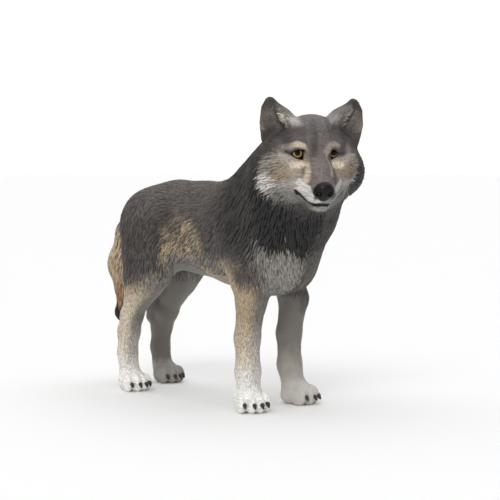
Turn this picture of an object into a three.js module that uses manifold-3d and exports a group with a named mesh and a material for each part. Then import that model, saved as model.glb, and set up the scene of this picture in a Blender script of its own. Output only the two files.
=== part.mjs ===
// Wolf figurine: a solid moulded plastic timber wolf, standing, looking to its
// own right. Millimetres, +Z up. It faces -Y and its left side is +X. Origin:
// under the middle of its box, on the floor.
import * as THREE from "three";
import Module from "manifold-3d";

const wasm = await Module();
wasm.setup();

// ---- driving dimensions ------------------------------------------------------
const GAP = 0.3; // thin cut between neighbouring pieces
const WELD = 0.04; // edges shorter than this close up where pieces are cut
const STEP = { body: 3.1, neck: 2.8, head: 1.72, ear: 1.25, thigh: 2.6, upper: 2, leg: 1.65, paw: 1.5, tail: 2.5 };

// Trunk: a spine of round sections, each [x, y, height, radius], seen narrower.
const TRUNK_WIDTH = 0.84;
const TRUNK = [
  [0, 18.2, 38.1, 7.3],
  [0, 12, 38.1, 8.6],
  [0, 2, 37.3, 9.2],
  [0, -9, 35.8, 9.9],
  [0, -18.5, 35.0, 10.5],
];
const CUT = {
  neck: { at: [0, -20.5, 40.2], lean: 28.5 }, // withers to breast, degrees down at the front
  thigh: { at: [0, 16, 32.4], lean: 28.8 }, // flank fold up to the rump
  throat: { at: [0, 4.5, -8.5], lean: 45 }, // in the head's frame, behind the ruff
  elbow: 25.3,
  foreMiddle: 16.5,
  wrist: 6.4,
  groin: 46,
  hock: 16.5,
  hindWrist: 5.4,
  tailTip: 22.5,
  chin: -10.6, // in the head's frame, under the jaw
  mouth: -7.3, // in the head's frame, the mouth line
  corner: -5.2, // in the head's frame, the corner of the mouth
  ear: 1.1, // in the ear's frame
};

// Legs: side is -1 on the right and 1 on the left.
const FORE = {
  right: { side: -1, shank: [7.2, -20.6], elbow: [6.5, -20.9], paw: [8.3, -22.8], turn: -17, size: [6.9, 8.2, 5.2] },
  left: { side: 1, shank: [6.7, -17.7], elbow: [7.4, -18.3], paw: [7.5, -20.1], turn: 20, size: [6.9, 7.9, 5.2] },
};
const HIND = {
  right: { side: -1, shank: [6.9, 22.7], knee: 15.1, paw: [7.4, 19.9], turn: -2, size: [6.4, 7.5, 5.0] },
  left: { side: 1, shank: [7.2, 29.3], knee: 20.2, paw: [7.1, 26.4], turn: 4, size: [6.4, 6.7, 5.1] },
};
const TOES = [-1.5, -0.5, 0.5, 1.5];
const CLAW = [0.45, 0.85, 0.8];

const TAIL = [
  [0, 25.0, 39.5, 3.2],
  [-0.2, 29.2, 35, 3.9],
  [-0.8, 30.4, 28, 4.6],
  [-1.3, 29.4, 22.3, 3.1],
  [-1.6, 29.1, 19.5, 2.1],
  [-1.8, 31.0, 16.9, 2.3],
];

// Head: its own frame looks along -Y from a point between the ears' fronts.
const HEAD = { at: [-1, -33.6, 54], turn: -29.5, nod: 20 };
const EYE = { at: [3.85, -3.95, 0.95], radius: 1.8 };
const NOSE = { at: [0.1, -12.8, -4.05], radii: [2.0, 1.7, 1.9] };
const EAR = {
  at: [6.6, 2.4, 3.2],
  face: 14, // degrees that the cup turns outward
  back: -8,
  lean: { right: 15.5, left: 22.5 },
  outline: [[-3.7, -0.4], [2.5, -1], [2.2, 2.4], [1.5, 4.9], [0.8, 5.8]],
  rim: [[-3.2, -1, 0.4, 0.95], [-1.7, -0.4, 2.7, 0.9], [-0.2, 0, 4.9, 0.7]], // its thick front edge
  round: 1.2,
  half: 0.75,
  cup: 0.13,
};

// ---- distance-like fields: negative inside ------------------------------------
const rad = THREE.MathUtils.degToRad;

// An ellipsoid with its radii along its own turned axes.
function blob([cx, cy, cz], [rx, ry, rz], turn = 0) {
  const c = Math.cos(rad(turn));
  const s = Math.sin(rad(turn));
  return (x, y, z) => {
    const a = (c * (x - cx) + s * (y - cy)) / rx;
    const b = (c * (y - cy) - s * (x - cx)) / ry;
    const d = (z - cz) / rz;
    const k0 = Math.hypot(a, b, d);
    const k1 = Math.hypot(a / rx, b / ry, d / rz);
    return k1 < 1e-9 ? -Math.min(rx, ry, rz) : (k0 * (k0 - 1)) / k1;
  };
}

// A round cone: two balls and the straight skin over both.
function cone(from, to, ra, rb) {
  const [ax, ay, az] = from;
  const [bx, by, bz] = to.map((v, i) => v - from[i]);
  const l2 = bx * bx + by * by + bz * bz;
  const rr = ra - rb;
  const a2 = l2 - rr * rr;
  return (x, y, z) => {
    const px = x - ax;
    const py = y - ay;
    const pz = z - az;
    const along = px * bx + py * by + pz * bz;
    const past = along - l2;
    const x2 = (px * l2 - bx * along) ** 2 + (py * l2 - by * along) ** 2 + (pz * l2 - bz * along) ** 2;
    const k = Math.sign(rr) * rr * rr * x2;
    if (Math.sign(past) * a2 * past * past * l2 > k) return Math.sqrt(x2 + past * past * l2) / l2 - rb;
    if (Math.sign(along) * a2 * along * along * l2 < k) return Math.sqrt(x2 + along * along * l2) / l2 - ra;
    return (Math.sqrt((x2 * a2) / l2) + along * rr) / l2 - ra;
  };
}

function softMin(a, b, k) {
  const h = Math.max(k - Math.abs(a - b), 0) / k;
  return Math.min(a, b) - h * h * k * 0.25;
}

const softMax = (a, b, k) => -softMin(-a, -b, k);

// Joins fields with a fillet of about k.
function blend(k, ...fields) {
  return (x, y, z) => fields.map((f) => f(x, y, z)).reduce((a, b) => softMin(a, b, k));
}

const carve = (k, field, cut) => (x, y, z) => softMax(field(x, y, z), -cut(x, y, z), k);
const chain = (k, rows) => blend(k, ...rows.slice(1).map((r, i) => cone(rows[i].slice(0, 3), r.slice(0, 3), rows[i][3], r[3])));
const mirror = (field) => (x, y, z) => field(Math.abs(x), y, z);
const narrow = (centre, scale, field) => (x, y, z) => field(centre + (x - centre) / scale, y, z) * scale;

function placed(matrix, field) {
  const m = matrix.clone().invert().elements;
  return (x, y, z) => field(
    m[0] * x + m[4] * y + m[8] * z + m[12],
    m[1] * x + m[5] * y + m[9] * z + m[13],
    m[2] * x + m[6] * y + m[10] * z + m[14],
  );
}

// at, then turned about Z, then leant about Y, then nodded about X
function frame(at, turn = 0, lean = 0, nod = 0) {
  return new THREE.Matrix4().makeTranslation(...at)
    .multiply(new THREE.Matrix4().makeRotationZ(rad(turn)))
    .multiply(new THREE.Matrix4().makeRotationY(rad(lean)))
    .multiply(new THREE.Matrix4().makeRotationX(rad(nod)));
}

// ---- the body ---------------------------------------------------------------
const trunk = narrow(0, TRUNK_WIDTH, chain(4, TRUNK));
const breast = blob([0, -21.9, 34.2], [8.1, 8.9, 9.8]);
const withers = blob([0, -9, 41.9], [4.8, 9, 5]);
const belly = blob([0, 2, 33.7], [6.4, 14, 5.3]);
const rump = blob([0, 17.7, 37.7], [7, 7.4, 7.6]);
const shoulders = mirror(blob([6.0, -21.2, 29.8], [2.8, 3.8, 4.6]));
const neckCore = blend(
  4,
  cone([0, -14, 39.5], [-0.6, -27.2, 49.8], 9.2, 8.3),
  cone([0, -20.5, 38.5], [-0.6, -29.5, 46.5], 9.8, 9),
);
const mane = blend(
  2.5,
  blob([0.1, -27.2, 41.5], [8.7, 8.4, 8.6]),
  mirror(blob([5.8, -27.6, 46.5], [4.6, 5.4, 6.5])),
);
const torso = blend(2, blend(3.5, trunk, breast, withers, belly, rump, neckCore, shoulders), mane);

function foreleg({ side, shank: [x, y], elbow, paw }) {
  const toPaw = (t) => [side * (x + (paw[0] - x) * t), y + (paw[1] - y) * t];
  return chain(1.2, [
    [side * 5.8, y + 2.2, 33, 4.8],
    [side * 6.4, y + 1.1, 27, 3.3],
    [side * elbow[0], elbow[1], 22.5, 3.05],
    [side * x, y + 0.1, 15, 2.58],
    [side * x, y - 0.1, 8.2, 2.5],
    [...toPaw(0.35), 4.6, 2.5],
  ]);
}

function hindleg({ side, shank: [x, y], knee }) {
  const thigh = narrow(side * 6.4, 0.6, chain(2, [
    [side * 5, knee + 2.0, 37, 8.0],
    [side * 6.4, knee, 30, 7.4],
    [side * 6.9, knee + 1.2, 26, 5.5],
  ]));
  const shank = chain(1, [
    [side * 6.9, knee + 1.6, 25, 3.9],
    [side * 6.9, knee + 3.7, 21, 2.8],
    [side * 6.9, knee + 6, 17, 2.5],
    [side * x, y - 0.4, 13.2, 2.45],
    [side * x, y + 0.2, 8.2, 2.2],
    [side * x, y - 0.6, 4, 2.35],
  ]);
  return blend(2.2, thigh, shank);
}

// A paw in its own frame, toes towards -Y: a pad, a heel and four toes.
function toeShape(t, [width, length, height]) {
  return {
    at: [t * width * 0.25, -(0.31 - 0.07 * t * t) * length, height * 0.36],
    radii: [width * 0.155, length * 0.24, height * 0.4],
    turn: Math.abs(t) > 1 ? t * 8 : 0,
  };
}

const pawFrame = ({ side, paw, turn }) => frame([side * paw[0], paw[1], 0], turn);

function pawField(leg) {
  const [width, length, height] = leg.size;
  const pad = blob([0, length * 0.06, height * 0.46], [width * 0.46, length * 0.44, height * 0.52]);
  const heel = blob([0, length * 0.25, height * 0.32], [width * 0.38, length * 0.25, height * 0.34]);
  const toes = TOES.map((t) => toeShape(t, leg.size)).map((toe) => blob(toe.at, toe.radii, toe.turn));
  return placed(pawFrame(leg), blend(0.5, blend(0.9, pad, heel), ...toes));
}

// ---- the head ---------------------------------------------------------------
const headFrame = frame(HEAD.at, HEAD.turn, 0, HEAD.nod);
const skull = blob([0, 0.8, 0.3], [6.9, 7.4, 6.6]);
const brow = mirror(blob([3.1, -4.4, 2.3], [2.6, 1.9, 1.3], 18));
const bridge = chain(1, [[0, -4.6, -1.0, 3.1], [0, -8.4, -2.6, 2.65], [0, -11.5, -3.95, 2.25]]);
const lips = mirror(chain(1, [[1.2, -11.6, -5.3, 1.75], [2.1, -8.6, -5, 2.6], [3.3, -4.5, -4.6, 3.1]]));
const jaw = mirror(chain(1, [[0.45, -10.7, -7.9, 1.4], [1.4, -7, -7.9, 2.1], [2.8, -3, -7.7, 3]]));
const cheek = mirror(blob([5, -1.4, -3], [3.8, 4.4, 4.4]));
const ruff = mirror(blend(
  2,
  blob([7.1, 2.4, -5.8], [4.8, 3.4, 5.2]),
  blob([3.8, 2.2, -8.2], [4.8, 4, 3.8]),
  blob([7.0, 1.4, -1.6], [2.8, 3, 4]),
));
const socket = mirror(blob([4.2, -6.6, 0.8], [2.2, 1.4, 1.3]));
const muzzle = blend(0.5, blend(1, bridge, lips), jaw);
const face = carve(0.8, blend(1.6, blend(2, skull, cheek, ruff), muzzle, brow), socket);

// Distance to a closed outline in a plane, negative inside.
function outlineField(rows) {
  return (x, z) => {
    let d = Infinity;
    let inside = true;
    rows.forEach(([px, pz], i) => {
      const [qx, qz] = rows[(i + 1) % rows.length];
      const ex = qx - px;
      const ez = qz - pz;
      const t = THREE.MathUtils.clamp(((x - px) * ex + (z - pz) * ez) / (ex * ex + ez * ez), 0, 1);
      d = Math.min(d, Math.hypot(x - px - ex * t, z - pz - ez * t));
      inside &&= ex * (z - pz) - ez * (x - px) >= 0;
    });
    return inside ? -d : d;
  };
}

// The right-hand ear of a pair in its own frame: a rounded triangle, cupped to
// the front, on a thicker back.
const earOutline = outlineField(EAR.outline);
function earShape(x, y, z) {
  const flat = earOutline(x, z) - EAR.round;
  const curl = y - 0.3 + EAR.cup * x * x - 0.02 * z * z;
  return softMax(flat, Math.abs(curl) - EAR.half, 0.9);
}
const earSolid = blend(
  0.6,
  carve(
    0.5,
    blend(1.2, earShape, blob([0, 1.2, 0.4], [3.9, 2.2, 4.4])),
    blob([-0.3, -1.9, 1.6], [3, 2, 4.6]),
  ),
  chain(0.5, EAR.rim),
);
const earFrame = (name) => frame(EAR.at, EAR.face, EAR.lean[name], EAR.back);
const ears = { right: placed(earFrame("right"), earSolid), left: placed(earFrame("left"), earSolid) };
const bothEars = (x, y, z) => (x > 0 ? ears.left(x, y, z) : ears.right(-x, y, z));
const head = placed(headFrame, blend(0.9, face, bothEars));

// ---- the whole outline, without the tail ---------------------------------------
const legs = [foreleg(FORE.right), foreleg(FORE.left), hindleg(HIND.right), hindleg(HIND.left)];
const paws = [FORE.right, FORE.left, HIND.right, HIND.left].map(pawField);
const hamstring = chain(0.5, [[6.8, 31.2, 15.4, 2.0], [6.8, 28.8, 22, 2.9]]); // behind the left hind leg
const flesh = blend(1.3, blend(1, blend(2.6, torso, ...legs), hamstring, ...paws), head);
const tail = chain(2, TAIL);

// ---- solids -----------------------------------------------------------------
function manifoldOf(vertProperties, triVerts) {
  return new wasm.Manifold(new wasm.Mesh({ numProp: 3, vertProperties, triVerts, tolerance: WELD }));
}

// Where the corners of a grid face alternate, the weaker inner one goes outside,
// so that no edge of the surface belongs to four faces.
function settle(value, [nx, ny, nz]) {
  const strides = [1, nx, nx * ny];
  const size = [nx, ny, nz];
  let changed = 0;
  for (let n = 0; n < value.length; n += 1) {
    const at = [n % nx, Math.floor(n / nx) % ny, Math.floor(n / (nx * ny))];
    for (const [u, v] of [[0, 1], [1, 2], [0, 2]]) {
      if (at[u] < size[u] - 1 && at[v] < size[v] - 1) {
        const ids = [n, n + strides[u], n + strides[u] + strides[v], n + strides[v]];
        const [a, b, c, d] = ids.map((i) => value[i] < 0);
        if (a === c && b === d && a !== b) {
          const [p, q] = ids.filter((i) => value[i] < 0);
          value[value[p] > value[q] ? p : q] = 0.01;
          changed += 1;
        }
      }
    }
  }
  return changed;
}

// Surface nets: one vertex in each grid cell that the surface crosses.
function polygonise(field, lo, hi, step) {
  const [nx, ny, nz] = lo.map((v, i) => Math.ceil((hi[i] - v) / step) + 1);
  const id = (i, j, k) => (k * ny + j) * nx + i;
  const value = new Float64Array(nx * ny * nz);
  const edge = (i, n) => i === 0 || i === n - 1;
  for (let k = 0; k < nz; k += 1) {
    for (let j = 0; j < ny; j += 1) {
      for (let i = 0; i < nx; i += 1) {
        const d = field(lo[0] + i * step, lo[1] + j * step, lo[2] + k * step);
        const outside = edge(i, nx) || edge(j, ny) || edge(k, nz);
        value[id(i, j, k)] = outside ? Math.max(d, 0.02 * step) : d || 1e-6;
      }
    }
  }
  for (let pass = 0; pass < 8 && settle(value, [nx, ny, nz]); pass += 1);
  const corners = [0, 1, 2, 3, 4, 5, 6, 7].map((c) => [c & 1, (c >> 1) & 1, c >> 2]);
  const edges = corners.flatMap((_, a) => [1, 2, 4].filter((bit) => !(a & bit)).map((bit) => [a, a | bit]));
  const cell = new Int32Array(nx * ny * nz).fill(-1);
  const position = [];
  for (let k = 0; k < nz - 1; k += 1) {
    for (let j = 0; j < ny - 1; j += 1) {
      for (let i = 0; i < nx - 1; i += 1) {
        const v = corners.map(([a, b, c]) => value[id(i + a, j + b, k + c)]);
        const crossed = edges.filter(([a, b]) => v[a] < 0 !== v[b] < 0);
        if (crossed.length) {
          cell[id(i, j, k)] = position.length / 3;
          [i, j, k].forEach((base, axis) => {
            const sum = crossed.reduce((total, [a, b]) => {
              const t = v[a] / (v[a] - v[b]);
              return total + corners[a][axis] + t * (corners[b][axis] - corners[a][axis]);
            }, 0);
            position.push(lo[axis] + step * (base + sum / crossed.length));
          });
        }
      }
    }
  }
  const index = [];
  const apart = (p, q) => Math.hypot(...[0, 1, 2].map((a) => position[3 * p + a] - position[3 * q + a]));
  const quad = (a, b, c, d, flip) => {
    const short = apart(a, c) < apart(b, d);
    const faces = short ? [[a, b, c], [a, c, d]] : [[a, b, d], [b, c, d]];
    faces.forEach(([p, q, r]) => index.push(...(flip ? [p, r, q] : [p, q, r])));
  };
  for (let k = 0; k < nz - 1; k += 1) {
    for (let j = 0; j < ny - 1; j += 1) {
      for (let i = 0; i < nx - 1; i += 1) {
        const inside = value[id(i, j, k)] < 0;
        const at = (a, b, c) => cell[id(i - a, j - b, k - c)];
        const crosses = (a, b, c) => inside !== value[id(i + a, j + b, k + c)] < 0;
        if (j && k && crosses(1, 0, 0)) quad(at(0, 1, 1), at(0, 0, 1), at(0, 0, 0), at(0, 1, 0), !inside);
        if (i && k && crosses(0, 1, 0)) quad(at(1, 0, 1), at(1, 0, 0), at(0, 0, 0), at(0, 0, 1), !inside);
        if (i && j && crosses(0, 0, 1)) quad(at(1, 1, 0), at(0, 1, 0), at(0, 0, 0), at(1, 0, 0), !inside);
      }
    }
  }
  return manifoldOf(new Float32Array(position), new Uint32Array(index));
}

// A three.js shape as a solid, placed by a matrix.
function solidOf(geometry, matrix) {
  const bare = new THREE.BufferGeometry().setAttribute("position", geometry.getAttribute("position").clone());
  bare.applyMatrix4(matrix);
  const p = bare.getAttribute("position").array;
  const seen = new Map();
  const position = [];
  const remap = Array.from({ length: p.length / 3 }, (_, i) => {
    const key = [0, 1, 2].map((a) => Math.round(p[3 * i + a] * 1e5)).join();
    if (!seen.has(key)) {
      seen.set(key, seen.size);
      position.push(p[3 * i], p[3 * i + 1], p[3 * i + 2]);
    }
    return seen.get(key);
  });
  const used = Array.from(geometry.index ? geometry.index.array : remap.keys(), (i) => remap[i]);
  const index = [];
  for (let i = 0; i < used.length; i += 3) {
    const [a, b, c] = used.slice(i, i + 3);
    const mirrored = matrix.determinant() < 0;
    if (a !== b && b !== c && c !== a) index.push(a, ...(mirrored ? [c, b] : [b, c]));
  }
  return manifoldOf(new Float32Array(position), new Uint32Array(index));
}

// A box from lo to hi in the frame of the matrix.
function region(lo, hi, matrix = new THREE.Matrix4()) {
  const size = hi.map((v, i) => v - lo[i]);
  const middle = hi.map((v, i) => (v + lo[i]) / 2);
  return solidOf(new THREE.BoxGeometry(...size), matrix.clone().multiply(frame(middle)));
}

function ellipsoid(at, radii, matrix, [around, down]) {
  const shape = matrix.clone().multiply(frame(at)).scale(new THREE.Vector3(...radii));
  return solidOf(new THREE.SphereGeometry(1, around, down), shape);
}

const grown = (radii) => radii.map((r) => r + GAP);
const H = GAP / 2;
const FAR = 60;

// ---- cutting -----------------------------------------------------------------
const neckFrame = frame(CUT.neck.at, 0, 0, CUT.neck.lean);
const thighFrame = frame(CUT.thigh.at, 0, 0, CUT.thigh.lean);
const throatFrame = headFrame.clone().multiply(frame(CUT.throat.at, 0, 0, CUT.throat.lean));
const earSide = { right: -1, left: 1 };
const earWorld = (name) => headFrame.clone()
  .multiply(new THREE.Matrix4().makeScale(earSide[name], 1, 1))
  .multiply(earFrame(name));
const onSide = (side, lo, hi, matrix) => region(
  [side > 0 ? H : -FAR, ...lo],
  [side > 0 ? FAR : -H, ...hi],
  matrix,
);

// Each cell is a region of space; g moves its cut faces outwards.
const cells = {
  head: (g) => region([-FAR, -FAR, CUT.chin - g], [FAR, FAR, FAR], headFrame)
    .intersect(region([-FAR, -FAR, -g], [FAR, FAR, FAR], throatFrame)),
  neck: (g) => region([-FAR, -FAR, -g], [FAR, FAR, FAR], neckFrame),
  jaw: (g) => region([-4.6 - g, -16, -14], [4.6 + g, CUT.corner + g, CUT.mouth + g], headFrame),
  ear: (name, g) => region([-5, -5, CUT.ear - g], [7, 5, 12], earWorld(name)),
  forelegs: (g) => region([-FAR, -34, -5], [FAR, -8, CUT.elbow + g]),
  hindlegs: (g) => region([-FAR, -13, -FAR], [FAR, FAR, g], thighFrame),
};

const pieces = [];
function keep(name, solid, look) {
  const parts = solid.decompose().sort((a, b) => b.volume() - a.volume());
  pieces.push({ name, solid: parts[0], ...look });
}

const COAT = { colour: 0x77716a, roughness: 0.62 };
const DARK = { colour: 0x54504c, roughness: 0.62 };
const TAN = { colour: 0x9a8a74, roughness: 0.62 };
const PALE = { colour: 0xb9b2a6, roughness: 0.62 };
const BLACK = { colour: 0x1e1b19, roughness: 0.4 };
const AMBER = { colour: 0xa97f3c, roughness: 0.15 };

const eye = (side, radius) => ellipsoid(
  [side * EYE.at[0], EYE.at[1], EYE.at[2]],
  [radius, radius, radius],
  headFrame,
  [10, 6],
);
const nose = (g) => ellipsoid(NOSE.at, NOSE.radii.map((r) => r + g), headFrame, [12, 7]);
const headBlock = polygonise(flesh, [-17, -54, 38], [17, -15, 69], STEP.head);
const earBlock = polygonise(flesh, [-17, -54, 52], [17, -18, 69], STEP.ear);
keep("head", headBlock.intersect(cells.head(-H))
  .subtract(cells.ear("right", H)).subtract(cells.ear("left", H))
  .subtract(cells.jaw(H))
  .subtract(eye(-1, EYE.radius + GAP)).subtract(eye(1, EYE.radius + GAP))
  .subtract(nose(GAP)), COAT);
keep("lower_jaw", headBlock.intersect(cells.head(-H)).intersect(cells.jaw(-H)), PALE);
keep("nose", nose(0), BLACK);
Object.entries(earSide).forEach(([name, side]) => {
  keep(`eye_${name}`, eye(side, EYE.radius), AMBER);
  keep(`ear_${name}`, earBlock.intersect(cells.ear(name, -H)), COAT);
});

const neckBlock = polygonise(flesh, [-17, -46, 25], [17, 2, 66], STEP.neck);
keep("neck", neckBlock.intersect(cells.neck(-H)).subtract(cells.head(H)), DARK);
const bodyBlock = polygonise(flesh, [-17, -46, 20], [17, 36, 56], STEP.body);
keep("trunk", bodyBlock.subtract(cells.neck(H)).subtract(cells.forelegs(H)).subtract(cells.hindlegs(H)), COAT);

// A leg is three pieces down to the flat sole.
function keepLeg(name, leg, levels, cell, step) {
  const [top, middle, wrist] = levels;
  const [x, y] = [leg.side * leg.paw[0], leg.paw[1]];
  const level = (lo, hi) => onSide(leg.side, [-FAR, lo], [FAR, hi]);
  const block = (lo, hi, size) => polygonise(flesh, [x - 9, y - 17, lo - 3], [x + 9, y + 13, hi + 3], size)
    .intersect(level(lo, hi));
  keep(`${name}_upper`, block(middle + H, top, step).intersect(cell), TAN);
  keep(`${name}_lower`, block(wrist + H, middle - H, STEP.leg), TAN);
  const toes = TOES.map((t) => toeShape(t, leg.size));
  const claw = (toe, g) => ellipsoid(
    [toe.at[0], toe.at[1] - toe.radii[1] * 0.9, toe.at[2] - 0.15],
    CLAW.map((r) => r + g),
    pawFrame(leg),
    [6, 4],
  );
  const foot = toes.reduce((rest, toe) => rest.subtract(claw(toe, GAP)), block(0, wrist - H, STEP.paw));
  keep(`${name}_paw`, foot, PALE);
  toes.forEach((toe, i) => keep(`${name}_claw_${i + 1}`, claw(toe, 0), BLACK));
}

Object.entries(FORE).forEach(([name, leg]) => {
  const levels = [CUT.elbow - H, CUT.foreMiddle, CUT.wrist];
  keepLeg(`foreleg_${name}`, leg, levels, cells.forelegs(0), STEP.upper);
});
Object.entries(HIND).forEach(([name, leg]) => {
  const levels = [CUT.groin, CUT.hock, CUT.hindWrist];
  keepLeg(`hindleg_${name}`, leg, levels, cells.hindlegs(-H), STEP.thigh);
});

const tailBox = [[-9, 20, 8], [9, 40, 47]];
const around = polygonise((x, y, z) => flesh(x, y, z) - GAP, ...tailBox, STEP.leg);
const wholeTail = polygonise(tail, ...tailBox, STEP.tail).subtract(around);
keep("tail", wholeTail.subtract(region([-FAR, 0, -5], [FAR, FAR, CUT.tailTip + H])), TAN);
keep("tail_tip", wholeTail.intersect(region([-FAR, 0, -5], [FAR, FAR, CUT.tailTip - H])), BLACK);

// ---- scene graph, origin under the middle of the box ------------------------------
const wolf = new THREE.Group();
wolf.name = "wolf";
pieces.forEach(({ name, solid, colour, roughness }) => {
  const { vertProperties, triVerts } = solid.getMesh();
  const geometry = new THREE.BufferGeometry();
  geometry.setAttribute("position", new THREE.BufferAttribute(new Float32Array(vertProperties), 3));
  geometry.setIndex(new THREE.BufferAttribute(new Uint32Array(triVerts), 1));
  geometry.computeVertexNormals();
  const mesh = new THREE.Mesh(geometry, new THREE.MeshStandardMaterial({ color: colour, roughness, metalness: 0 }));
  mesh.name = name;
  wolf.add(mesh);
});
const box = new THREE.Box3().setFromObject(wolf);
const middle = box.getCenter(new THREE.Vector3());
wolf.position.set(-middle.x, -middle.y, 0);

export default wolf;
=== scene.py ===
"""Wolf figurine: one moulded skin with a sculpted, hand-painted coat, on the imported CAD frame.

Lengths are in millimetres in the wolf's own frame (it faces -Y, its left side is +X)
until a mesh is made, and in metres after that.
"""
import math

import bpy
import numpy as np
from mathutils import Matrix, Vector


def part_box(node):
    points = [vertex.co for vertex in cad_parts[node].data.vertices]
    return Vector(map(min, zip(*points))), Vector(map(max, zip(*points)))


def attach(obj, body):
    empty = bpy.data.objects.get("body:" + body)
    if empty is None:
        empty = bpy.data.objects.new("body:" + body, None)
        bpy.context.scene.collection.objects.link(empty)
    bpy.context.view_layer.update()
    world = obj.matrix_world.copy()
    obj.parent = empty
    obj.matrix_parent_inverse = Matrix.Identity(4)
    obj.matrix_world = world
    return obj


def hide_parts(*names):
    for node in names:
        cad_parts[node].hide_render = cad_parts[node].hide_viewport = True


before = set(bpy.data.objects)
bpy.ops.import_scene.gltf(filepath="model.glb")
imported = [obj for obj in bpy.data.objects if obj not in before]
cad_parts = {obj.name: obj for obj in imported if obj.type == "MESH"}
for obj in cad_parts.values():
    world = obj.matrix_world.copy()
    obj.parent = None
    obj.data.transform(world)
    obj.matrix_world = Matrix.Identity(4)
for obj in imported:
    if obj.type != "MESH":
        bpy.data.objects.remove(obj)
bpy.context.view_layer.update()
rng = np.random.default_rng(7)
F = np.float32

# ---- sizes ----
GRID = 0.3  # the skin's first mesh
TRUNK_WIDTH = 0.84
TRUNK = [(0, 18.2, 38.1, 7.3), (0, 12, 38.1, 8.6), (0, 2, 37.3, 9.2)]  # x, y, z and radius, rump first
TRUNK += [(0, -9, 35.8, 9.9), (0, -18.5, 35.0, 10.5)]


def leg_sizes(side, shank, joint, paw, turn, size):
    """A leg's sizes; joint is the elbow's place in front, and the knee's y behind."""
    return dict(side=side, shank=shank, joint=joint, paw=paw, turn=turn, size=size)


FORE = {
    "right": leg_sizes(-1, (7.2, -20.6), (6.5, -20.9), (8.3, -22.8), -17, (6.9, 8.2, 5.2)),
    "left": leg_sizes(1, (6.7, -17.7), (7.4, -18.3), (7.5, -20.1), 20, (6.9, 7.9, 5.2)),
}
HIND = {
    "right": leg_sizes(-1, (6.9, 22.7), 15.1, (7.4, 19.9), -2, (6.4, 7.5, 5.0)),
    "left": leg_sizes(1, (7.2, 29.3), 20.2, (7.1, 26.4), 4, (6.4, 6.7, 5.1)),
}
TOES = (-1.5, -0.5, 0.5, 1.5)
TAIL = [(0, 25.0, 39.5, 3.2), (-0.2, 29.2, 35, 3.9), (-0.8, 30.4, 28, 4.6)]
TAIL += [(-1.3, 29.4, 22.3, 3.1), (-1.6, 29.1, 19.5, 2.1), (-1.8, 31.0, 16.9, 2.3)]
HEAD = dict(at=(-1, -33.6, 54), turn=-29.5, nod=20)
EYE = dict(
    at=(3.85, -3.95, 0.95), radius=1.8, inner=-1.12, arcs=[(-0.6, -1.35, 2.3), (-1.2, 2.6, 3.75)],
    # each opening's middle x and z, and how much it is narrowed
    opening={"right": (4.15, 1.1, 1.0), "left": (3.25, 1.2, 1.86)},
    gaze={"right": (-0.19, 0.19), "left": (-0.32, 0.2)},
)
NOSE = dict(at=(0.1, -12.8, -4.05), radii=(2.0, 1.7, 1.9))
EAR = dict(
    at=(6.6, 2.4, 3.2), face=14, back=-8, lean={"right": 15.5, "left": 22.5}, round=1.2, half=0.75, cup=0.13,
    outline=[(-3.7, -0.4), (2.5, -1), (2.2, 2.4), (1.5, 4.9), (0.8, 5.8)],
    rim=[(-3.2, -1, 0.4, 0.95), (-1.7, -0.4, 2.7, 0.9), (-0.2, 0, 4.9, 0.7)],
)


# ---- frames ----
def turned(at, turn=0, lean=0, nod=0):
    """A 4x4: turned about Z, leant about Y, nodded about X, then moved to at."""
    spin = Matrix.Rotation(math.radians(turn), 4, "Z")
    tip = Matrix.Rotation(math.radians(lean), 4, "Y")
    bow = Matrix.Rotation(math.radians(nod), 4, "X")
    return np.array(Matrix.Translation(at) @ spin @ tip @ bow)


HEAD_FRAME = turned(HEAD["at"], HEAD["turn"], 0, HEAD["nod"])


def move(matrix, p):
    return p @ matrix[:3, :3].T + matrix[:3, 3]


# ---- distance-like fields over arrays of x, y, z ----
def blob(c, r, turn=0):
    co, si = math.cos(math.radians(turn)), math.sin(math.radians(turn))
    rx, ry, rz = r

    def f(x, y, z):
        a = (co * (x - c[0]) + si * (y - c[1])) / rx
        b = (co * (y - c[1]) - si * (x - c[0])) / ry
        d = (z - c[2]) / rz
        k0 = np.sqrt(a * a + b * b + d * d)
        k1 = np.sqrt((a / rx) ** 2 + (b / ry) ** 2 + (d / rz) ** 2)
        return k0 * (k0 - 1) / np.maximum(k1, 1e-6)

    return f


def cone(a, b, ra, rb):
    """Two balls and the straight skin over both."""
    bx, by, bz = (b[i] - a[i] for i in range(3))
    l2 = bx * bx + by * by + bz * bz
    rr = ra - rb
    a2 = l2 - rr * rr

    def f(x, y, z):
        px, py, pz = x - a[0], y - a[1], z - a[2]
        along = px * bx + py * by + pz * bz
        past = along - l2
        x2 = (px * l2 - bx * along) ** 2 + (py * l2 - by * along) ** 2 + (pz * l2 - bz * along) ** 2
        k = math.copysign(1, rr) * rr * rr * x2
        side = (np.sqrt(x2 * (a2 / l2)) + along * rr) / l2 - ra
        top = np.sqrt(x2 + past * past * l2) / l2 - rb
        low = np.sqrt(x2 + along * along * l2) / l2 - ra
        d = np.where(np.sign(along) * a2 * along * along * l2 < k, low, side)
        return np.where(np.sign(past) * a2 * past * past * l2 > k, top, d)

    return f


def soft_min(a, b, k):
    h = np.maximum(k - np.abs(a - b), 0) / k
    return np.minimum(a, b) - h * h * k * 0.25


def soft_max(a, b, k):
    return -soft_min(-a, -b, k)


def blend(k, *fields):
    def f(x, y, z):
        d = fields[0](x, y, z)
        for g in fields[1:]:
            d = soft_min(d, g(x, y, z), k)
        return d

    return f


def carve(k, field, cut):
    return lambda x, y, z: soft_max(field(x, y, z), -cut(x, y, z), k)


def chain(k, rows):
    return blend(k, *[cone(p[:3], q[:3], p[3], q[3]) for p, q in zip(rows, rows[1:])])


def mirror(field):
    return lambda x, y, z: field(np.abs(x), y, z)


def narrow(centre, scale, field):
    return lambda x, y, z: field(centre + (x - centre) / scale, y, z) * scale


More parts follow.
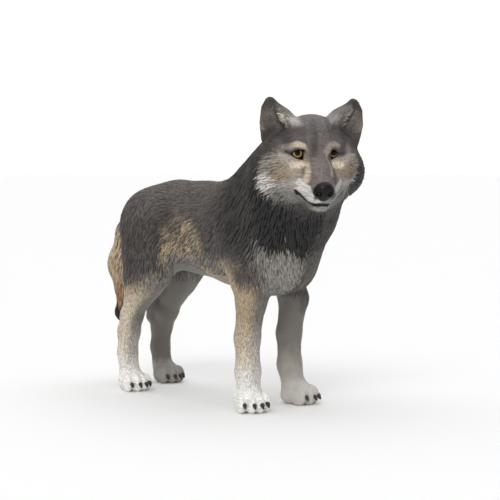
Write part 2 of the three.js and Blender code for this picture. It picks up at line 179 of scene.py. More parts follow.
def placed(matrix, field):
    m = np.linalg.inv(matrix).astype(F)

    def f(x, y, z):
        return field(*(m[i, 0] * x + m[i, 1] * y + m[i, 2] * z + m[i, 3] for i in range(3)))

    return f


# ---- body ----
trunk = narrow(0, TRUNK_WIDTH, chain(4, TRUNK))
neck_core = blend(
    4,
    cone((0, -14, 39.5), (-0.6, -27.2, 49.8), 9.2, 8.3),
    cone((0, -20.5, 38.5), (-0.6, -29.5, 46.5), 9.8, 9),
)
mane = blend(
    2.5,
    blob((0.1, -27.2, 41.5), (8.7, 8.4, 8.6)),
    mirror(blob((5.8, -27.6, 46.5), (4.6, 5.4, 6.5))),
)
torso = blend(
    2,
    blend(
        3.5,
        trunk,
        blob((0, -21.9, 34.2), (8.1, 8.9, 9.8)),
        blob((0, -9, 41.9), (4.8, 9, 5)),
        blob((0, 2, 33.7), (6.4, 14, 5.3)),
        blob((0, 17.7, 37.7), (7, 7.4, 7.6)),
        neck_core,
        mirror(blob((6.0, -21.2, 29.8), (2.8, 3.8, 4.6))),
    ),
    mane,
)


def foreleg(leg):
    s, (x, y), e, p = leg["side"], leg["shank"], leg["joint"], leg["paw"]
    near = (s * (x + (p[0] - x) * 0.35), y + (p[1] - y) * 0.35)
    rows = [(s * 5.8, y + 2.2, 33, 4.8), (s * 6.4, y + 1.1, 27, 3.3), (s * e[0], e[1], 22.5, 3.05)]
    rows += [(s * x, y + 0.1, 15, 2.58), (s * x, y - 0.1, 8.2, 2.5), (*near, 4.6, 2.5)]
    return chain(1.2, rows)


def hindleg(leg):
    s, (x, y), k = leg["side"], leg["shank"], leg["joint"]
    thigh = chain(2, [(s * 5, k + 2.0, 37, 8.0), (s * 6.4, k, 30, 7.4), (s * 6.9, k + 1.2, 26, 5.5)])
    rows = [(s * 6.9, k + 1.6, 25, 3.9), (s * 6.9, k + 3.7, 21, 2.8), (s * 6.9, k + 6, 17, 2.5)]
    rows += [(s * x, y - 0.4, 13.2, 2.45), (s * x, y + 0.2, 8.2, 2.2), (s * x, y - 0.6, 4, 2.35)]
    return blend(2.2, narrow(s * 6.4, 0.6, thigh), chain(1, rows))


def toe_shape(t, size):
    width, length, height = size
    at = (t * width * 0.25, -(0.31 - 0.07 * t * t) * length, height * 0.36)
    return at, (width * 0.155, length * 0.24, height * 0.4), t * 8 if abs(t) > 1 else 0


def paw_frame(leg):
    return turned((leg["side"] * leg["paw"][0], leg["paw"][1], 0), leg["turn"])


def paw(leg):
    width, length, height = leg["size"]
    pad = blob((0, length * 0.06, height * 0.46), (width * 0.46, length * 0.44, height * 0.52))
    heel = blob((0, length * 0.25, height * 0.32), (width * 0.38, length * 0.25, height * 0.34))
    toes = [blob(*toe_shape(t, leg["size"])) for t in TOES]
    return placed(paw_frame(leg), blend(0.5, blend(0.9, pad, heel), *toes))


# ---- head ----
skull = blob((0, 0.8, 0.3), (6.9, 7.4, 6.6))
brow = mirror(blob((3.1, -4.4, 2.3), (2.6, 1.9, 1.3), 18))
bridge = chain(1, [(0, -4.6, -1.0, 3.1), (0, -8.4, -2.6, 2.65), (0, -11.5, -3.95, 2.25)])
lips = mirror(chain(1, [(1.2, -11.6, -5.3, 1.75), (2.1, -8.6, -5, 2.6), (3.3, -4.5, -4.6, 3.1)]))
jaw = mirror(chain(1, [(0.45, -10.7, -7.9, 1.4), (1.4, -7, -7.9, 2.1), (2.8, -3, -7.7, 3)]))
cheek = mirror(blob((5, -1.4, -3), (3.8, 4.4, 4.4)))
ruff = mirror(blend(
    2,
    blob((7.1, 2.4, -5.8), (4.8, 3.4, 5.2)),
    blob((3.8, 2.2, -8.2), (4.8, 4, 3.8)),
    blob((7.0, 1.4, -1.6), (2.8, 3, 4)),
))
socket = mirror(blob((4.2, -6.6, 0.8), (2.2, 1.4, 1.3)))
lids = mirror(blob(EYE["at"], [EYE["radius"] + 0.3] * 3))
lip_line = [(0, -12.05, -7.35), (1.3, -11.75, -7.4), (2.0, -11.2, -7.4), (2.7, -10.95, -7.0)]
lip_line += [(3.5, -11.0, -6.25), (4.3, -10.35, -5.6), (4.8, -9.4, -5.55)]
mouth_line = chain(0.1, [(*p, 0.18 + 0.02 * abs(p[0])) for p in lip_line])
mouth = mirror(blend(0.2, mouth_line, blob((4.75, -9.6, -5.65), (0.5, 0.95, 0.5))))
furrow = chain(0.5, [(0, -8.3, 0.9, 0.35), (0, -6.4, 4.2, 0.75), (0, -3, 7, 0.4)])


def eye_outline(x, z):
    """Below 0 inside the outline of an eye as seen from the front: two arcs and a straight inner side."""
    left = x > 0
    (ax, az, aw), (bx, bz, bw) = EYE["opening"]["left"], EYE["opening"]["right"]
    a = np.where(left, (np.abs(x) - ax) * aw, (np.abs(x) - bx) * bw)
    b = np.where(left, z - az, z - bz)
    arcs = [np.hypot(a - u, b - v) - radius for u, v, radius in EYE["arcs"]]
    return soft_max(soft_max(*arcs, 0.15), EYE["inner"] - a, 0.15)


def eye_opening(x, y, z):
    """The eye's outline cut along Y, from the front to the middle of the eye."""
    return np.maximum(eye_outline(x, z), y - EYE["at"][1])


muzzle = blend(0.5, blend(1, bridge, lips), jaw)
face = blend(1.6, blend(2, skull, cheek, ruff), muzzle, brow)
face = carve(0.5, blend(0.7, carve(0.8, face, socket), lids), furrow)
face = carve(0.15, carve(0.2, face, mouth), eye_opening)


def outline_field(rows):
    def f(x, z):
        d = np.full(x.shape, 1e9, F)
        inside = np.ones(x.shape, bool)
        for (px, pz), (qx, qz) in zip(rows, rows[1:] + rows[:1]):
            ex, ez = qx - px, qz - pz
            t = np.clip(((x - px) * ex + (z - pz) * ez) / (ex * ex + ez * ez), 0, 1)
            d = np.minimum(d, np.hypot(x - px - ex * t, z - pz - ez * t))
            inside &= ex * (z - pz) - ez * (x - px) >= 0
        return np.where(inside, -d, d)

    return f


ear_outline = outline_field(EAR["outline"])


def ear_shape(x, y, z):
    flat = ear_outline(x, z) - EAR["round"]
    curl = y - 0.3 + EAR["cup"] * x * x - 0.02 * z * z
    return soft_max(flat, np.abs(curl) - EAR["half"], 0.9)


ear_body = blend(1.2, ear_shape, blob((0, 1.2, 0.4), (3.9, 2.2, 4.4)))
ear_solid = blend(0.6, carve(0.5, ear_body, blob((-0.3, -1.9, 1.6), (3, 2, 4.6))), chain(0.5, EAR["rim"]))


def ear_frame(side):
    return turned(EAR["at"], EAR["face"], EAR["lean"][side], EAR["back"])


ears = {side: placed(ear_frame(side), ear_solid) for side in ("right", "left")}


def both_ears(x, y, z):
    return np.where(x > 0, ears["left"](x, y, z), ears["right"](-x, y, z))


head = placed(HEAD_FRAME, blend(0.9, face, both_ears))
legs = [foreleg(FORE["right"]), foreleg(FORE["left"]), hindleg(HIND["right"]), hindleg(HIND["left"])]
paws = [paw(leg) for leg in (*FORE.values(), *HIND.values())]
tail = chain(2, TAIL)
hamstring = chain(0.5, [(6.8, 31.2, 15.4, 2.0), (6.8, 28.8, 22, 2.9)])
limbs = blend(1, blend(2.6, torso, *legs), hamstring, *paws)
flesh = blend(0.8, blend(1.3, limbs, head), tail)


def wolf(x, y, z):
    """The whole outline, cut flat at the soles."""
    return soft_max(flesh(x, y, z), -z, 0.25)


# ---- meshing ----
def sample(field, p, size=400_000):
    p = p.astype(F)
    return np.concatenate([field(*q.T) for q in np.array_split(p, max(1, len(p) // size + 1))])


def band_values(field, lo, n, h, coarse=4, band=1.3):
    """The field on a grid, exact near the surface and roughly right far from it."""
    m = [k // coarse + 2 for k in n]
    axes = [lo[i] + np.arange(m[i]) * h * coarse for i in range(3)]
    rough = sample(field, np.stack(np.meshgrid(*axes, indexing="ij"), -1).reshape(-1, 3)).reshape(m)
    value = rough
    for axis in range(3):
        t = np.arange(n[axis]) / coarse
        i = t.astype(int)
        t = (t - i).reshape([-1 if a == axis else 1 for a in range(3)]).astype(F)
        value = np.take(value, i, axis) * (1 - t) + np.take(value, i + 1, axis) * t
    near = np.argwhere(np.abs(value) < band)
    value[tuple(near.T)] = sample(field, near * h + np.array(lo))
    return value


def surface_nets(value, lo, h):
    """Vertices and quads: one vertex in each cell that the surface crosses."""
    inside = value < 0
    nx, ny, nz = value.shape
    corners = [(c & 1, (c >> 1) & 1, c >> 2) for c in range(8)]
    count = sum(
        inside[i : nx - 1 + i, j : ny - 1 + j, k : nz - 1 + k].astype(np.int8) for i, j, k in corners
    )
    cells = np.argwhere((count > 0) & (count < 8))
    number = np.full(count.shape, -1, np.int64)
    number[tuple(cells.T)] = np.arange(len(cells))
    v = np.stack([value[tuple((cells + c).T)] for c in corners], 1)
    total = np.zeros((len(cells), 3))
    hits = np.zeros(len(cells))
    for a in range(8):
        for bit in (1, 2, 4):
            if a & bit:
                continue
            b = a | bit
            cross = (v[:, a] < 0) != (v[:, b] < 0)
            t = np.where(cross, v[:, a] / np.where(cross, v[:, a] - v[:, b], 1), 0)
            where = np.array(corners[a]) + t[:, None] * (np.array(corners[b]) - np.array(corners[a]))
            total += where * cross[:, None]
            hits += cross
    verts = (cells + total / hits[:, None]) * h + np.array(lo)
    quads = []
    for axis in range(3):
        u, w = [a for a in range(3) if a != axis]
        step = np.eye(3, dtype=int)
        lo_cut = [slice(1, s - 1) for s in value.shape]
        lo_cut[axis] = slice(0, value.shape[axis] - 1)
        hi_cut = list(lo_cut)
        hi_cut[axis] = slice(1, value.shape[axis])
        a, b = inside[tuple(lo_cut)], inside[tuple(hi_cut)]
        offset = np.array([s.start for s in lo_cut])
        for flip, mask in ((False, a & ~b), (True, ~a & b)):
            at = np.argwhere(mask) + offset
            ring = [at, at - step[u], at - step[u] - step[w], at - step[w]]
            ids = np.stack([number[tuple(q.T)] for q in ring], 1)
            if (axis == 1) != flip:
                ids = ids[:, ::-1]
            quads.append(ids)
    return verts, np.concatenate(quads)


def triangles(verts, quads):
    a, b, c, d = (verts[quads[:, i]] for i in range(4))
    short = np.linalg.norm(a - c, axis=1) < np.linalg.norm(b - d, axis=1)
    one = np.where(short[:, None], quads[:, [0, 1, 2]], quads[:, [0, 1, 3]])
    two = np.where(short[:, None], quads[:, [0, 2, 3]], quads[:, [1, 2, 3]])
    return np.concatenate([one, two])


def refine(verts, tris, where):
    """Splits each edge whose middle where() picks, with no cracks."""
    edges = np.sort(np.stack([tris, np.roll(tris, -1, 1)], -1).reshape(-1, 2), 1)
    keys, back = np.unique(edges[:, 0] * len(verts) + edges[:, 1], return_inverse=True)
    a, b = keys // len(verts), keys % len(verts)
    middle = (verts[a] + verts[b]) / 2
    split = where(middle)
    new = np.where(split, len(verts) + np.cumsum(split) - 1, -1)
    m = new[back].reshape(-1, 3)
    out = []
    for pattern in range(8):
        pick = np.flatnonzero(((m >= 0) * [1, 2, 4]).sum(1) == pattern)
        t, q = tris[pick], m[pick]
        if pattern == 0:
            out.append(t)
        elif pattern == 7:
            out += [np.stack(s, 1) for s in (
                (t[:, 0], q[:, 0], q[:, 2]), (q[:, 0], t[:, 1], q[:, 1]),
                (q[:, 2], q[:, 1], t[:, 2]), (q[:, 0], q[:, 1], q[:, 2]))]
        else:
            r = {1: 0, 2: 1, 4: 2, 3: 0, 6: 1, 5: 2}[pattern]
            t, q = np.roll(t, -r, 1), np.roll(q, -r, 1)
            if pattern in (1, 2, 4):
                out += [np.stack(s, 1) for s in ((t[:, 0], q[:, 0], t[:, 2]), (q[:, 0], t[:, 1], t[:, 2]))]
            else:
                out += [np.stack(s, 1) for s in (
                    (t[:, 0], q[:, 0], t[:, 2]), (q[:, 0], q[:, 1], t[:, 2]), (q[:, 0], t[:, 1], q[:, 1]))]
    return np.concatenate([verts, middle[split]]), np.concatenate(out)


def gradient(field, p, e=0.05):
    q = np.concatenate([p + e * k * np.eye(3)[i] for i in range(3) for k in (1, -1)])
    d = sample(field, q).reshape(3, 2, -1)
    return ((d[:, 0] - d[:, 1]) / (2 * e)).T


def unit(v):
    """The rows of v at length 1."""
    return v / np.maximum(np.linalg.norm(v, axis=1, keepdims=True), 1e-6)


def settle(field, p, steps=2):
    """Moves points onto the field's surface and returns them with their normals."""
    for _ in range(steps):
        g = gradient(field, p)
        g2 = np.maximum((g * g).sum(1), 0.05)
        p = p - g * np.clip(sample(field, p) / g2, -0.3, 0.3)[:, None]
    return p, unit(gradient(field, p))


# ---- paint ----
def linear(*rgb):
    """An sRGB colour from 0 to 255 as linear light."""
    c = np.array(rgb) / 255
    return np.where(c > 0.04045, ((c + 0.055) / 1.055) ** 2.4, c / 12.92)


def step(a, b, x):
    t = np.clip((x - a) / (b - a), 0, 1)
    return t * t * (3 - 2 * t)


def noise(p, size, seed=0):
    """Smooth value noise from -0.5 to 0.5."""
    q = p / size
    cell = np.floor(q).astype(np.int64)
    t = q - cell
    t = t * t * (3 - 2 * t)
    total = np.zeros(len(p))
    for c in range(8):
        corner = np.array([c & 1, (c >> 1) & 1, c >> 2])
        k = (cell + corner) @ np.array([73856093, 19349663, 83492791]) + seed * 2654435761
        k = (k ^ (k >> 13)) * 1274126177 & 0x7FFFFFFF
        k = (k ^ (k >> 16)) * 60493 & 0xFFFFFF
        total += k / 0xFFFFFF * np.prod(np.where(corner, t, 1 - t), 1)
    return total - 0.5


def spot(q, at, radii, soft=0.5, tilt=0.0):
    """1 inside an ellipsoid, falling to 0 over the soft share of its size."""
    d = q - np.array(at)
    if tilt:
        co, si = math.cos(math.radians(tilt)), math.sin(math.radians(tilt))
        d = np.stack([d[:, 0] * co + d[:, 2] * si, d[:, 1], d[:, 2] * co - d[:, 0] * si], 1)
    return step(1 + soft, 1 - soft, np.linalg.norm(d / np.array(radii), axis=1))


def along(q, rows, soft):
    """1 within a chain of round spots (x, y, z, radius), falling to 0 over a soft edge in millimetres."""
    return step(soft, 0, sample(chain(0.05, rows), q))


def fade(z, *stops):
    """The colour at each height: named paints, each at its height, blended evenly between them."""
    heights = [height for height, _ in stops]
    paints = np.array([colour for _, colour in stops])
    return np.stack([np.interp(z, heights, paints[:, k]) for k in range(3)], 1)


CHARCOAL = linear(72, 67, 65)
DARK = linear(50, 46, 45)
GREY = linear(112, 106, 102)
TAN = linear(176, 156, 128)
WHITE = linear(250, 248, 242)
CHEST = linear(150, 145, 138)
SAND = linear(208, 195, 174)
PALE = linear(226, 222, 216)
STONE = linear(182, 175, 165)
SHADE = linear(116, 111, 104)
BLACK = linear(18, 17, 17)
UNDERSIDE = linear(118, 114, 108)
FLANK_TAN = [  # place, radii and strength of each patch, on both flanks
    ((9, -2.5, 36.8), (5, 2.6, 2.6), 1), ((9, -5.2, 34.2), (5, 2.8, 2.8), 0.85),
    ((8.5, 0.8, 32.6), (5, 5, 2.6), 1), ((8.5, 5.6, 31.6), (5, 2.2, 3.2), 1),
    ((8.6, 2.6, 34.6), (5, 3.2, 2.4), 1), ((8.6, 4.2, 36.6), (5, 3, 2.6), 0.5),
    ((8.3, 1, 39.4), (5, 2, 1.8), 0.35), ((8.8, -11, 30.8), (5, 5, 1.8), 0.4),
    ((10, -18.5, 30.4), (4, 4, 1.8), 0.35),
]


def wash(colour, paint, mask):
    return colour + (paint - colour) * mask[:, None]


def folded(q):
    """Places with the left and right sides folded together."""
    return np.stack([np.abs(q[:, 0]), q[:, 1], q[:, 2]], 1)


head_inverse = np.linalg.inv(HEAD_FRAME)
MIDDLE_Y = -4  # legs in front of this are forelegs


def parts_of(p):
    """How much each point belongs to torso, legs, paws, head, ears and tail: one row of weights each."""
    q = move(head_inverse, p)
    mask = spot(q, (0, -4, -1.5), (11.6, 6.6, 8.8), 0.08)  # the ruff reaches over the mane here
    d = np.stack([
        sample(torso, p) + 4 * mask,
        np.min([sample(leg, p) for leg in legs], 0),
        np.min([sample(foot, p) for foot in paws], 0),
        sample(face, q),
        sample(both_ears, q) - 0.25,
        sample(tail, p),
    ])
    w = np.exp(-(d - d.min(0)) / 0.5)
    return w / w.sum(0)


def smooth_side(p, n, parts):
    """1 on the undersides and inner sides, which the figurine leaves smooth."""
    inward = -n[:, 0] * np.sign(p[:, 0]) - np.where(p[:, 0] > 0, -0.4, 0.45)
    limb = (parts[1] + parts[2]) * step(0, 0.25, inward) * step(27, 24, p[:, 2])
    belly = (parts[0] + parts[1]) * step(0.5, 0.75, -n[:, 2])
    belly = belly * step(-20, -16, p[:, 1]) * step(33, 31, p[:, 2])
    return np.clip(limb + belly, 0, 1)


def paint_body(p, n):
    x, y, z = p.T
    wide = np.abs(x)
    both = folded(p)
    rough = noise(p, 2.6, 1)
    fine = noise(p, 0.9, 2)
    zr = z + 2.4 * rough + 1.0 * fine
    c = np.broadcast_to(linear(76, 70, 67), p.shape)
    c = wash(c, linear(98, 91, 87), 0.8 * step(37, 44, zr) * step(-13, -6, y + 3 * rough))
    c = wash(c, linear(54, 49, 47), 0.6 * spot(both, (9.5, 5.5, 38.5), (5, 4.5, 2.5), 0.6, -25))
    grain = noise(p, 0.42, 16)
    patch = np.zeros(len(p))
    for at, radii, share in FLANK_TAN:
        patch = np.maximum(patch, share * spot(both, at, radii, 0.5))
    broken = 0.85 + 0.6 * fine + 0.7 * rough + 1.3 * grain
    c = wash(c, linear(178, 158, 130), np.clip(0.9 * patch * broken, 0, 1))
    c = wash(c, DARK, 0.8 * step(-13, -19, y + 2 * rough) * step(31, 36, zr))
    # near black on the chest's front under the head: dark paint, deepened as painted shade under the head
    bib_and_painted_shade = step(-24, -29, y + 1.5 * rough) * step(32.5, 35, z + 0.3 * wide)
    c = wash(c, linear(14, 13, 13), 0.92 * bib_and_painted_shade)
    bib_edge = zr - 0.3 * wide + 0.8 * step(4.5, 2.5, np.abs(x + 2.5))
    c = wash(c, CHEST, 0.9 * (step(-20, -25, y + wide * 0.35) * step(34.2, 32.0, bib_edge)))
    below = step(-0.1, -0.45, n[:, 2])
    return wash(c, UNDERSIDE, 0.92 * below * step(34, 31, z) * step(-22, -18, y))


def outerness(p, n, low=0.1, high=0.85):
    """1 on a leg's outer side, 0 on its front, back and inner side."""
    return step(low, high, n[:, 0] * np.sign(p[:, 0]))


def paint_fore(p, n, c):
    x, _, z = p.T
    rough = noise(p, 2.2, 3)
    fleck = noise(p, 0.55, 14)
    zr = z + 2 * rough + 1.6 * fleck
    inner = fade(zr, (5, PALE), (13, STONE), (20, SHADE))
    # the far (left) foreleg's inner side: the near side's greys set lower and darker, as painted shade under
    # the body
    far_inner_in_painted_shade = fade(zr, (4, STONE), (13, SHADE))
    inner = np.where(x[:, None] > 0, far_inner_in_painted_shade, inner)
    out = outerness(p, n)
    legs_paint = wash(inner, fade(zr, (6, WHITE), (12, SAND), (20, TAN)), out * np.where(x > 0, 0.5, 1))
    top = zr - 7 * np.clip(n[:, 1] + 0.3, 0, 0.6) - 2.5 * out * (x < 0)
    c = wash(c, legs_paint, 0.96 * step(25.5, 21.5, top))
    c = wash(c, inner, 0.9 * step(0.45, 0.1, n[:, 0] * np.sign(x)) * step(30, 26, z) * (x > 0))
    dark_top = step(-0.5, 0.0, n[:, 0] + 0.3 * fleck) * step(18, 20.5, zr)
    return wash(c, linear(74, 69, 66), 0.8 * (x > 0) * dark_top)


def paint_hind(p, n, c):
    x, y, z = p.T
    rough = noise(p, 2.2, 4)
    fleck = noise(p, 0.55, 15)
    zr = z + 2.4 * rough + 1.8 * fleck
    inner = fade(zr, (5, PALE), (10, STONE), (17, SHADE))
    # the far (left) hind leg's inner side: the near side's greys set lower and darker, as painted shade
    # under the body
    far_inner_in_painted_shade = fade(zr, (2, STONE), (6, SHADE))
    inner = np.where(x[:, None] > 0, far_inner_in_painted_shade, inner)
    out = outerness(p, n, 0.3, 0.9)
    legs_paint = wash(inner, fade(zr, (4, WHITE), (12, SAND), (20, SAND), (24, TAN)), out)
    c = wash(c, linear(158, 142, 120), 0.55 * step(28, 25, zr + 0.35 * (y - 14)) * out)
    c = wash(c, legs_paint, step(25.5, 22.5, zr))
    c = wash(c, inner, 0.92 * step(0.5, 0.1, n[:, 0] * np.sign(x)) * step(33, 30.5, z))
    below = step(-0.2, -0.5, n[:, 2])
    return wash(c, UNDERSIDE, 0.9 * below * step(34, 31, z) * step(22, 26, z))


def paint_tail(p):
    z = p[:, 2] + 2.4 * noise(p, 1.4, 5)
    c = np.broadcast_to(linear(184, 164, 138), p.shape)
    c = wash(c, GREY, 0.8 * step(34, 39, z))
    c = wash(c, linear(156, 120, 80), 0.8 * step(27, 23, z))
    return wash(c, BLACK, step(20.6, 18.2, z - 0.5 * (p[:, 1] - 30)))


def draw(c, q, *marks):
    """Strokes of paint: each is a colour, its strength, its chain of spots and its soft edge."""
    for rgb, share, rows, soft in marks:
        c = wash(c, linear(*rgb), share * along(q, rows, soft))
    return c


def lip_height(x):
    """How high the mouth line runs at a distance from the middle of the face."""
    return -7.4 + 1.85 * step(1.7, 4.5, x)


def paint_cheeks(c, q, s, n, fine, rough):
    """The cheek, the ruff and the jowl, below the line from the eye to the ear's foot, with painted shade on
    the far side.
    """
    x, y, z = s.T
    line = z - (0.4 + 0.10 * (y + 4)) - 0.5 * fine
    c = wash(c, linear(156, 148, 138), step(0.3, -1.8, line) * step(2.6, 4.4, x))
    c = wash(c, linear(150, 131, 106), 0.8 * spot(s, (7, -5.0, -2.8), (2.4, 3.2, 1.7), 0.5) * (0.75 + rough))
    c = wash(c, linear(164, 148, 126), 0.8 * spot(s, (4.8, -6.6, -2.5), (1.6, 1.8, 0.8), 0.5))
    c = draw(
        c, s,
        ((176, 166, 154), 0.85, [(3.2, -6, -0.3, 0.4), (5, -5.5, -0.3, 0.5), (7.4, -3.4, -0.2, 0.4)], 0.8),
        ((232, 215, 192), 0.85, [(3.1, -6.4, -0.9, 0.3), (4.2, -6, -1.1, 0.3), (5, -5.7, -1.2, 0.2)], 0.8),
    )
    c = wash(c, linear(130, 124, 119), 0.8 * spot(s, (7.0, -2.6, 1.2), (1.3, 2.0, 0.8), 0.6))
    c = wash(c, linear(232, 229, 224), 0.95 * spot(s, (10.2, -2, -5.4), (3.4, 4.5, 2.1), 0.45))
    under_line = lip_height(x) - 0.1
    jowl = step(0.3, -1.0, z - under_line) * step(-2, -5, y)
    c = wash(c, linear(122, 119, 115), 0.95 * jowl * step(9, 6.5, x))
    c = wash(c, CHARCOAL, step(-7.4, -8.8, z + 0.8 * rough) * step(-10.6, -9, y))
    # charcoal behind the ruff: the neck's dark paint, with painted shade where the ruff meets the neck
    c = wash(c, CHARCOAL, step(-2.9, -1.2, y + 1.2 * rough) * step(6.2, 8.2, x - 0.25 * y))
    c = c * (1 - 0.28 * step(0.3, 0.85, n[:, 2]) * step(4.2, 5.6, z))[:, None]
    # painted shade: the far (left) side of the face, and its jowl, darker than the near side
    far = step(7.6, 9.6, q[:, 0] - 0.3 * y)
    return c * (1 - 0.35 * far - 0.25 * step(2.5, 4.5, q[:, 0]) * step(-1.6, -2.6, z))[:, None]


def paint_bridge(c, q, s, fine):
    """The bridge with its pale stripes, the upper lips' edges and the brows."""
    x, y, z = s.T
    bridge = step(2.65 - 0.05 * (y + 8), 2.05 - 0.05 * (y + 8), x + 0.25 * fine) * step(-4.8, -3.6, z)
    c = wash(c, linear(110, 100, 98), bridge * step(-3, -5.5, y))
    c = wash(c, linear(94, 86, 83), bridge * step(1.2, 3, z))
    # a dark line down the forehead beside its furrow: painted shade in the furrow
    crease = [(-1.1, -7, 1.4, 0.1), (-1.1, -5.4, 3.9, 0.4), (-0.6, -1.1, 6.6, 0.5)]
    near_stripe = [(-2.6, -7.4, -0.5, 0.1), (-2.8, -9.4, -1.6, 0.3), (-3.1, -10.4, -2.6, 0.2)]
    # the far side's stripe and brow are darker copies of the near ones: painted shade on the far side
    far_stripe_in_shade = [(1.8, -6.7, 1.8, 0.1), (2.4, -8.2, -0.6, 0.1), (2.2, -10.3, -1.5, 0.1)]
    near_lip = [(-4.4, -9.3, -3.4, 0.35), (-3.0, -11.8, -4.1, 0.5), (-2.4, -12.9, -5.1, 0.4)]
    near_brow = [(-3.0, -6.3, 2.1, 0.2), (-3.3, -6.2, 2.9, 0.25)]
    near_brow += [(-4.5, -5.4, 3.1, 0.3), (-5.4, -4.9, 2.5, 0.25)]
    far_brow_in_shade = [(1.4, -6.6, 2.1, 0.2), (2.2, -6.2, 3.0, 0.25), (3.2, -5.9, 3.3, 0.25), (3.9, -5.9, 3.0, 0.2)]
    return draw(
        c, q,
        ((66, 60, 58), 0.75, crease, 0.9),
        ((178, 163, 144), 0.7, [(-2.8, -6.2, 1.9, 0.1), (-2.6, -6.6, 0.2, 0.1)], 1.1),
        ((214, 198, 172), 0.85, near_stripe, 1.1),
        ((170, 156, 138), 0.75, far_stripe_in_shade, 0.9),
        ((216, 210, 203), 0.9, near_lip, 0.6),
        # the far lip edge, darker than the near one: painted shade on the far side
        ((190, 185, 178), 0.8, [(4.4, -9.3, -3.4, 0.3), (2.6, -12, -4.3, 0.3)], 0.6),
        ((204, 187, 166), 0.85, near_brow, 0.7),
        ((140, 134, 126), 0.7, [(-5.5, -4.9, 2.4, 0.2), (-6.5, -2.8, 1.6, 0.3)], 0.8),
        ((152, 142, 133), 0.85, far_brow_in_shade, 0.7),
    )


def paint_mouth(c, q, s, fine):
    """The lips, the mouth line and the chin."""
    x, y, z = s.T
    over = z - lip_height(x)
    lip = step(2.3, 1.3, over + 0.5 * fine) * step(0, 0.15, over) * step(-7, -9.4, y)
    white = wash(linear(150, 148, 144) + 0 * q, linear(212, 208, 203), step(0.1, 0.9, over))
    c = wash(c, white, 0.92 * lip * step(2.2, 0.6, q[:, 0]))
    # lips greyer on the far (left) side: painted shade
    c = wash(c, linear(124, 122, 119), 0.9 * lip * step(-0.4, 1.2, q[:, 0]))
    c = wash(c, linear(84, 81, 79), 0.8 * step(-7.6, -8.6, z) * step(0.5, 2.5, q[:, 0]))
    c = wash(c, linear(160, 154, 148), 0.8 * spot(s, (6.2, -7.6, -4.6), (1.9, 2.6, 0.7), 0.5, -8))
    c = draw(c, q, ((28, 26, 26), 0.9, [(0.3, -13.4, -6, 0.2), (0.2, -12.8, -7.3, 0.15)], 0.3))
    c = wash(c, linear(150, 147, 144), 0.8 * spot(s, (0, -11.8, -8.1), (1.7, 1.4, 0.55), 0.6))
    return wash(c, DARK * 0.25, step(0.2, 0.04, sample(mouth, q)))


def paint_lids(c, q, s):
    """The dark rims of the eyes, painted shade above the upper lids, and the strokes from their corners."""
    _, y, z = s.T
    from_rim = np.abs(eye_outline(q[:, 0], q[:, 2]))
    upper = step(-0.3, 0.9, z - 1.0)
    front = step(-2.8, -3.6, y)
    # painted shade above the upper lids, under the brows
    c = wash(c, linear(84, 74, 66), 0.75 * (step(0.8, 0.2, from_rim) * upper * front))
    c = wash(c, linear(14, 12, 12), step(0.2 + 0.22 * upper, 0.0 + 0.08 * upper, from_rim) * front)
    right_stroke = [(-5.3, -5.3, 1.1, 0.16), (-6.3, -3.8, 1.0, 0.08)]
    left_stroke = [(4.1, -5.9, 1.35, 0.2), (5.3, -5.4, 1.3, 0.1)]
    stroke = np.maximum(along(q, right_stroke, 0.3), along(q, left_stroke, 0.3))
    c = wash(c, linear(26, 23, 21), 0.95 * stroke)
    return draw(c, s, ((24, 21, 20), 0.85, [(3.1, -6.2, 0.0, 0.12), (3.1, -6.4, -0.35, 0.05)], 0.3))


def paint_face(q, n):
    """The head's markings in its own frame: x to its left, -y forward, z up. n is the normal there."""
    s = folded(q)
    fine = noise(q, 0.7, 7)
    rough = noise(q, 2, 8)
    c = np.broadcast_to(linear(74, 67, 66), q.shape)
    c = paint_cheeks(c, q, s, n, fine, rough)
    c = paint_bridge(c, q, s, fine)
    c = paint_mouth(c, q, s, fine)
    c = paint_lids(c, q, s)
    # black under the nose, so that nothing pale shows in the nostrils
    behind = blob(NOSE["at"], [r * 0.97 for r in NOSE["radii"]])
    return wash(c, BLACK * 0.6, step(0.0, -0.25, sample(behind, q)))


def in_ear_frame(q):
    """Places in the head's frame as places in the nearer ear's frame: x outward, z up the ear."""
    sides = [move(np.linalg.inv(ear_frame(side)), folded(q)) for side in ("left", "right")]
    return np.where(q[:, :1] > 0, *sides)


def comb_middle(q, z):
    """Where the row of combed ridges runs inside each ear."""
    return np.where(q[:, 0] > 0, -1.35, -2.1) + 0.14 * z


def ear_comb(q):
    """How much a place lies on the row of combed ridges inside an ear."""
    x, _, z = in_ear_frame(q).T
    middle = comb_middle(q, z)
    half = 0.62 - 0.06 * z
    return step(1.25, 0.8, np.abs(x - middle) / half) * step(0, 0.5, z) * step(4.3, 3.7, z)


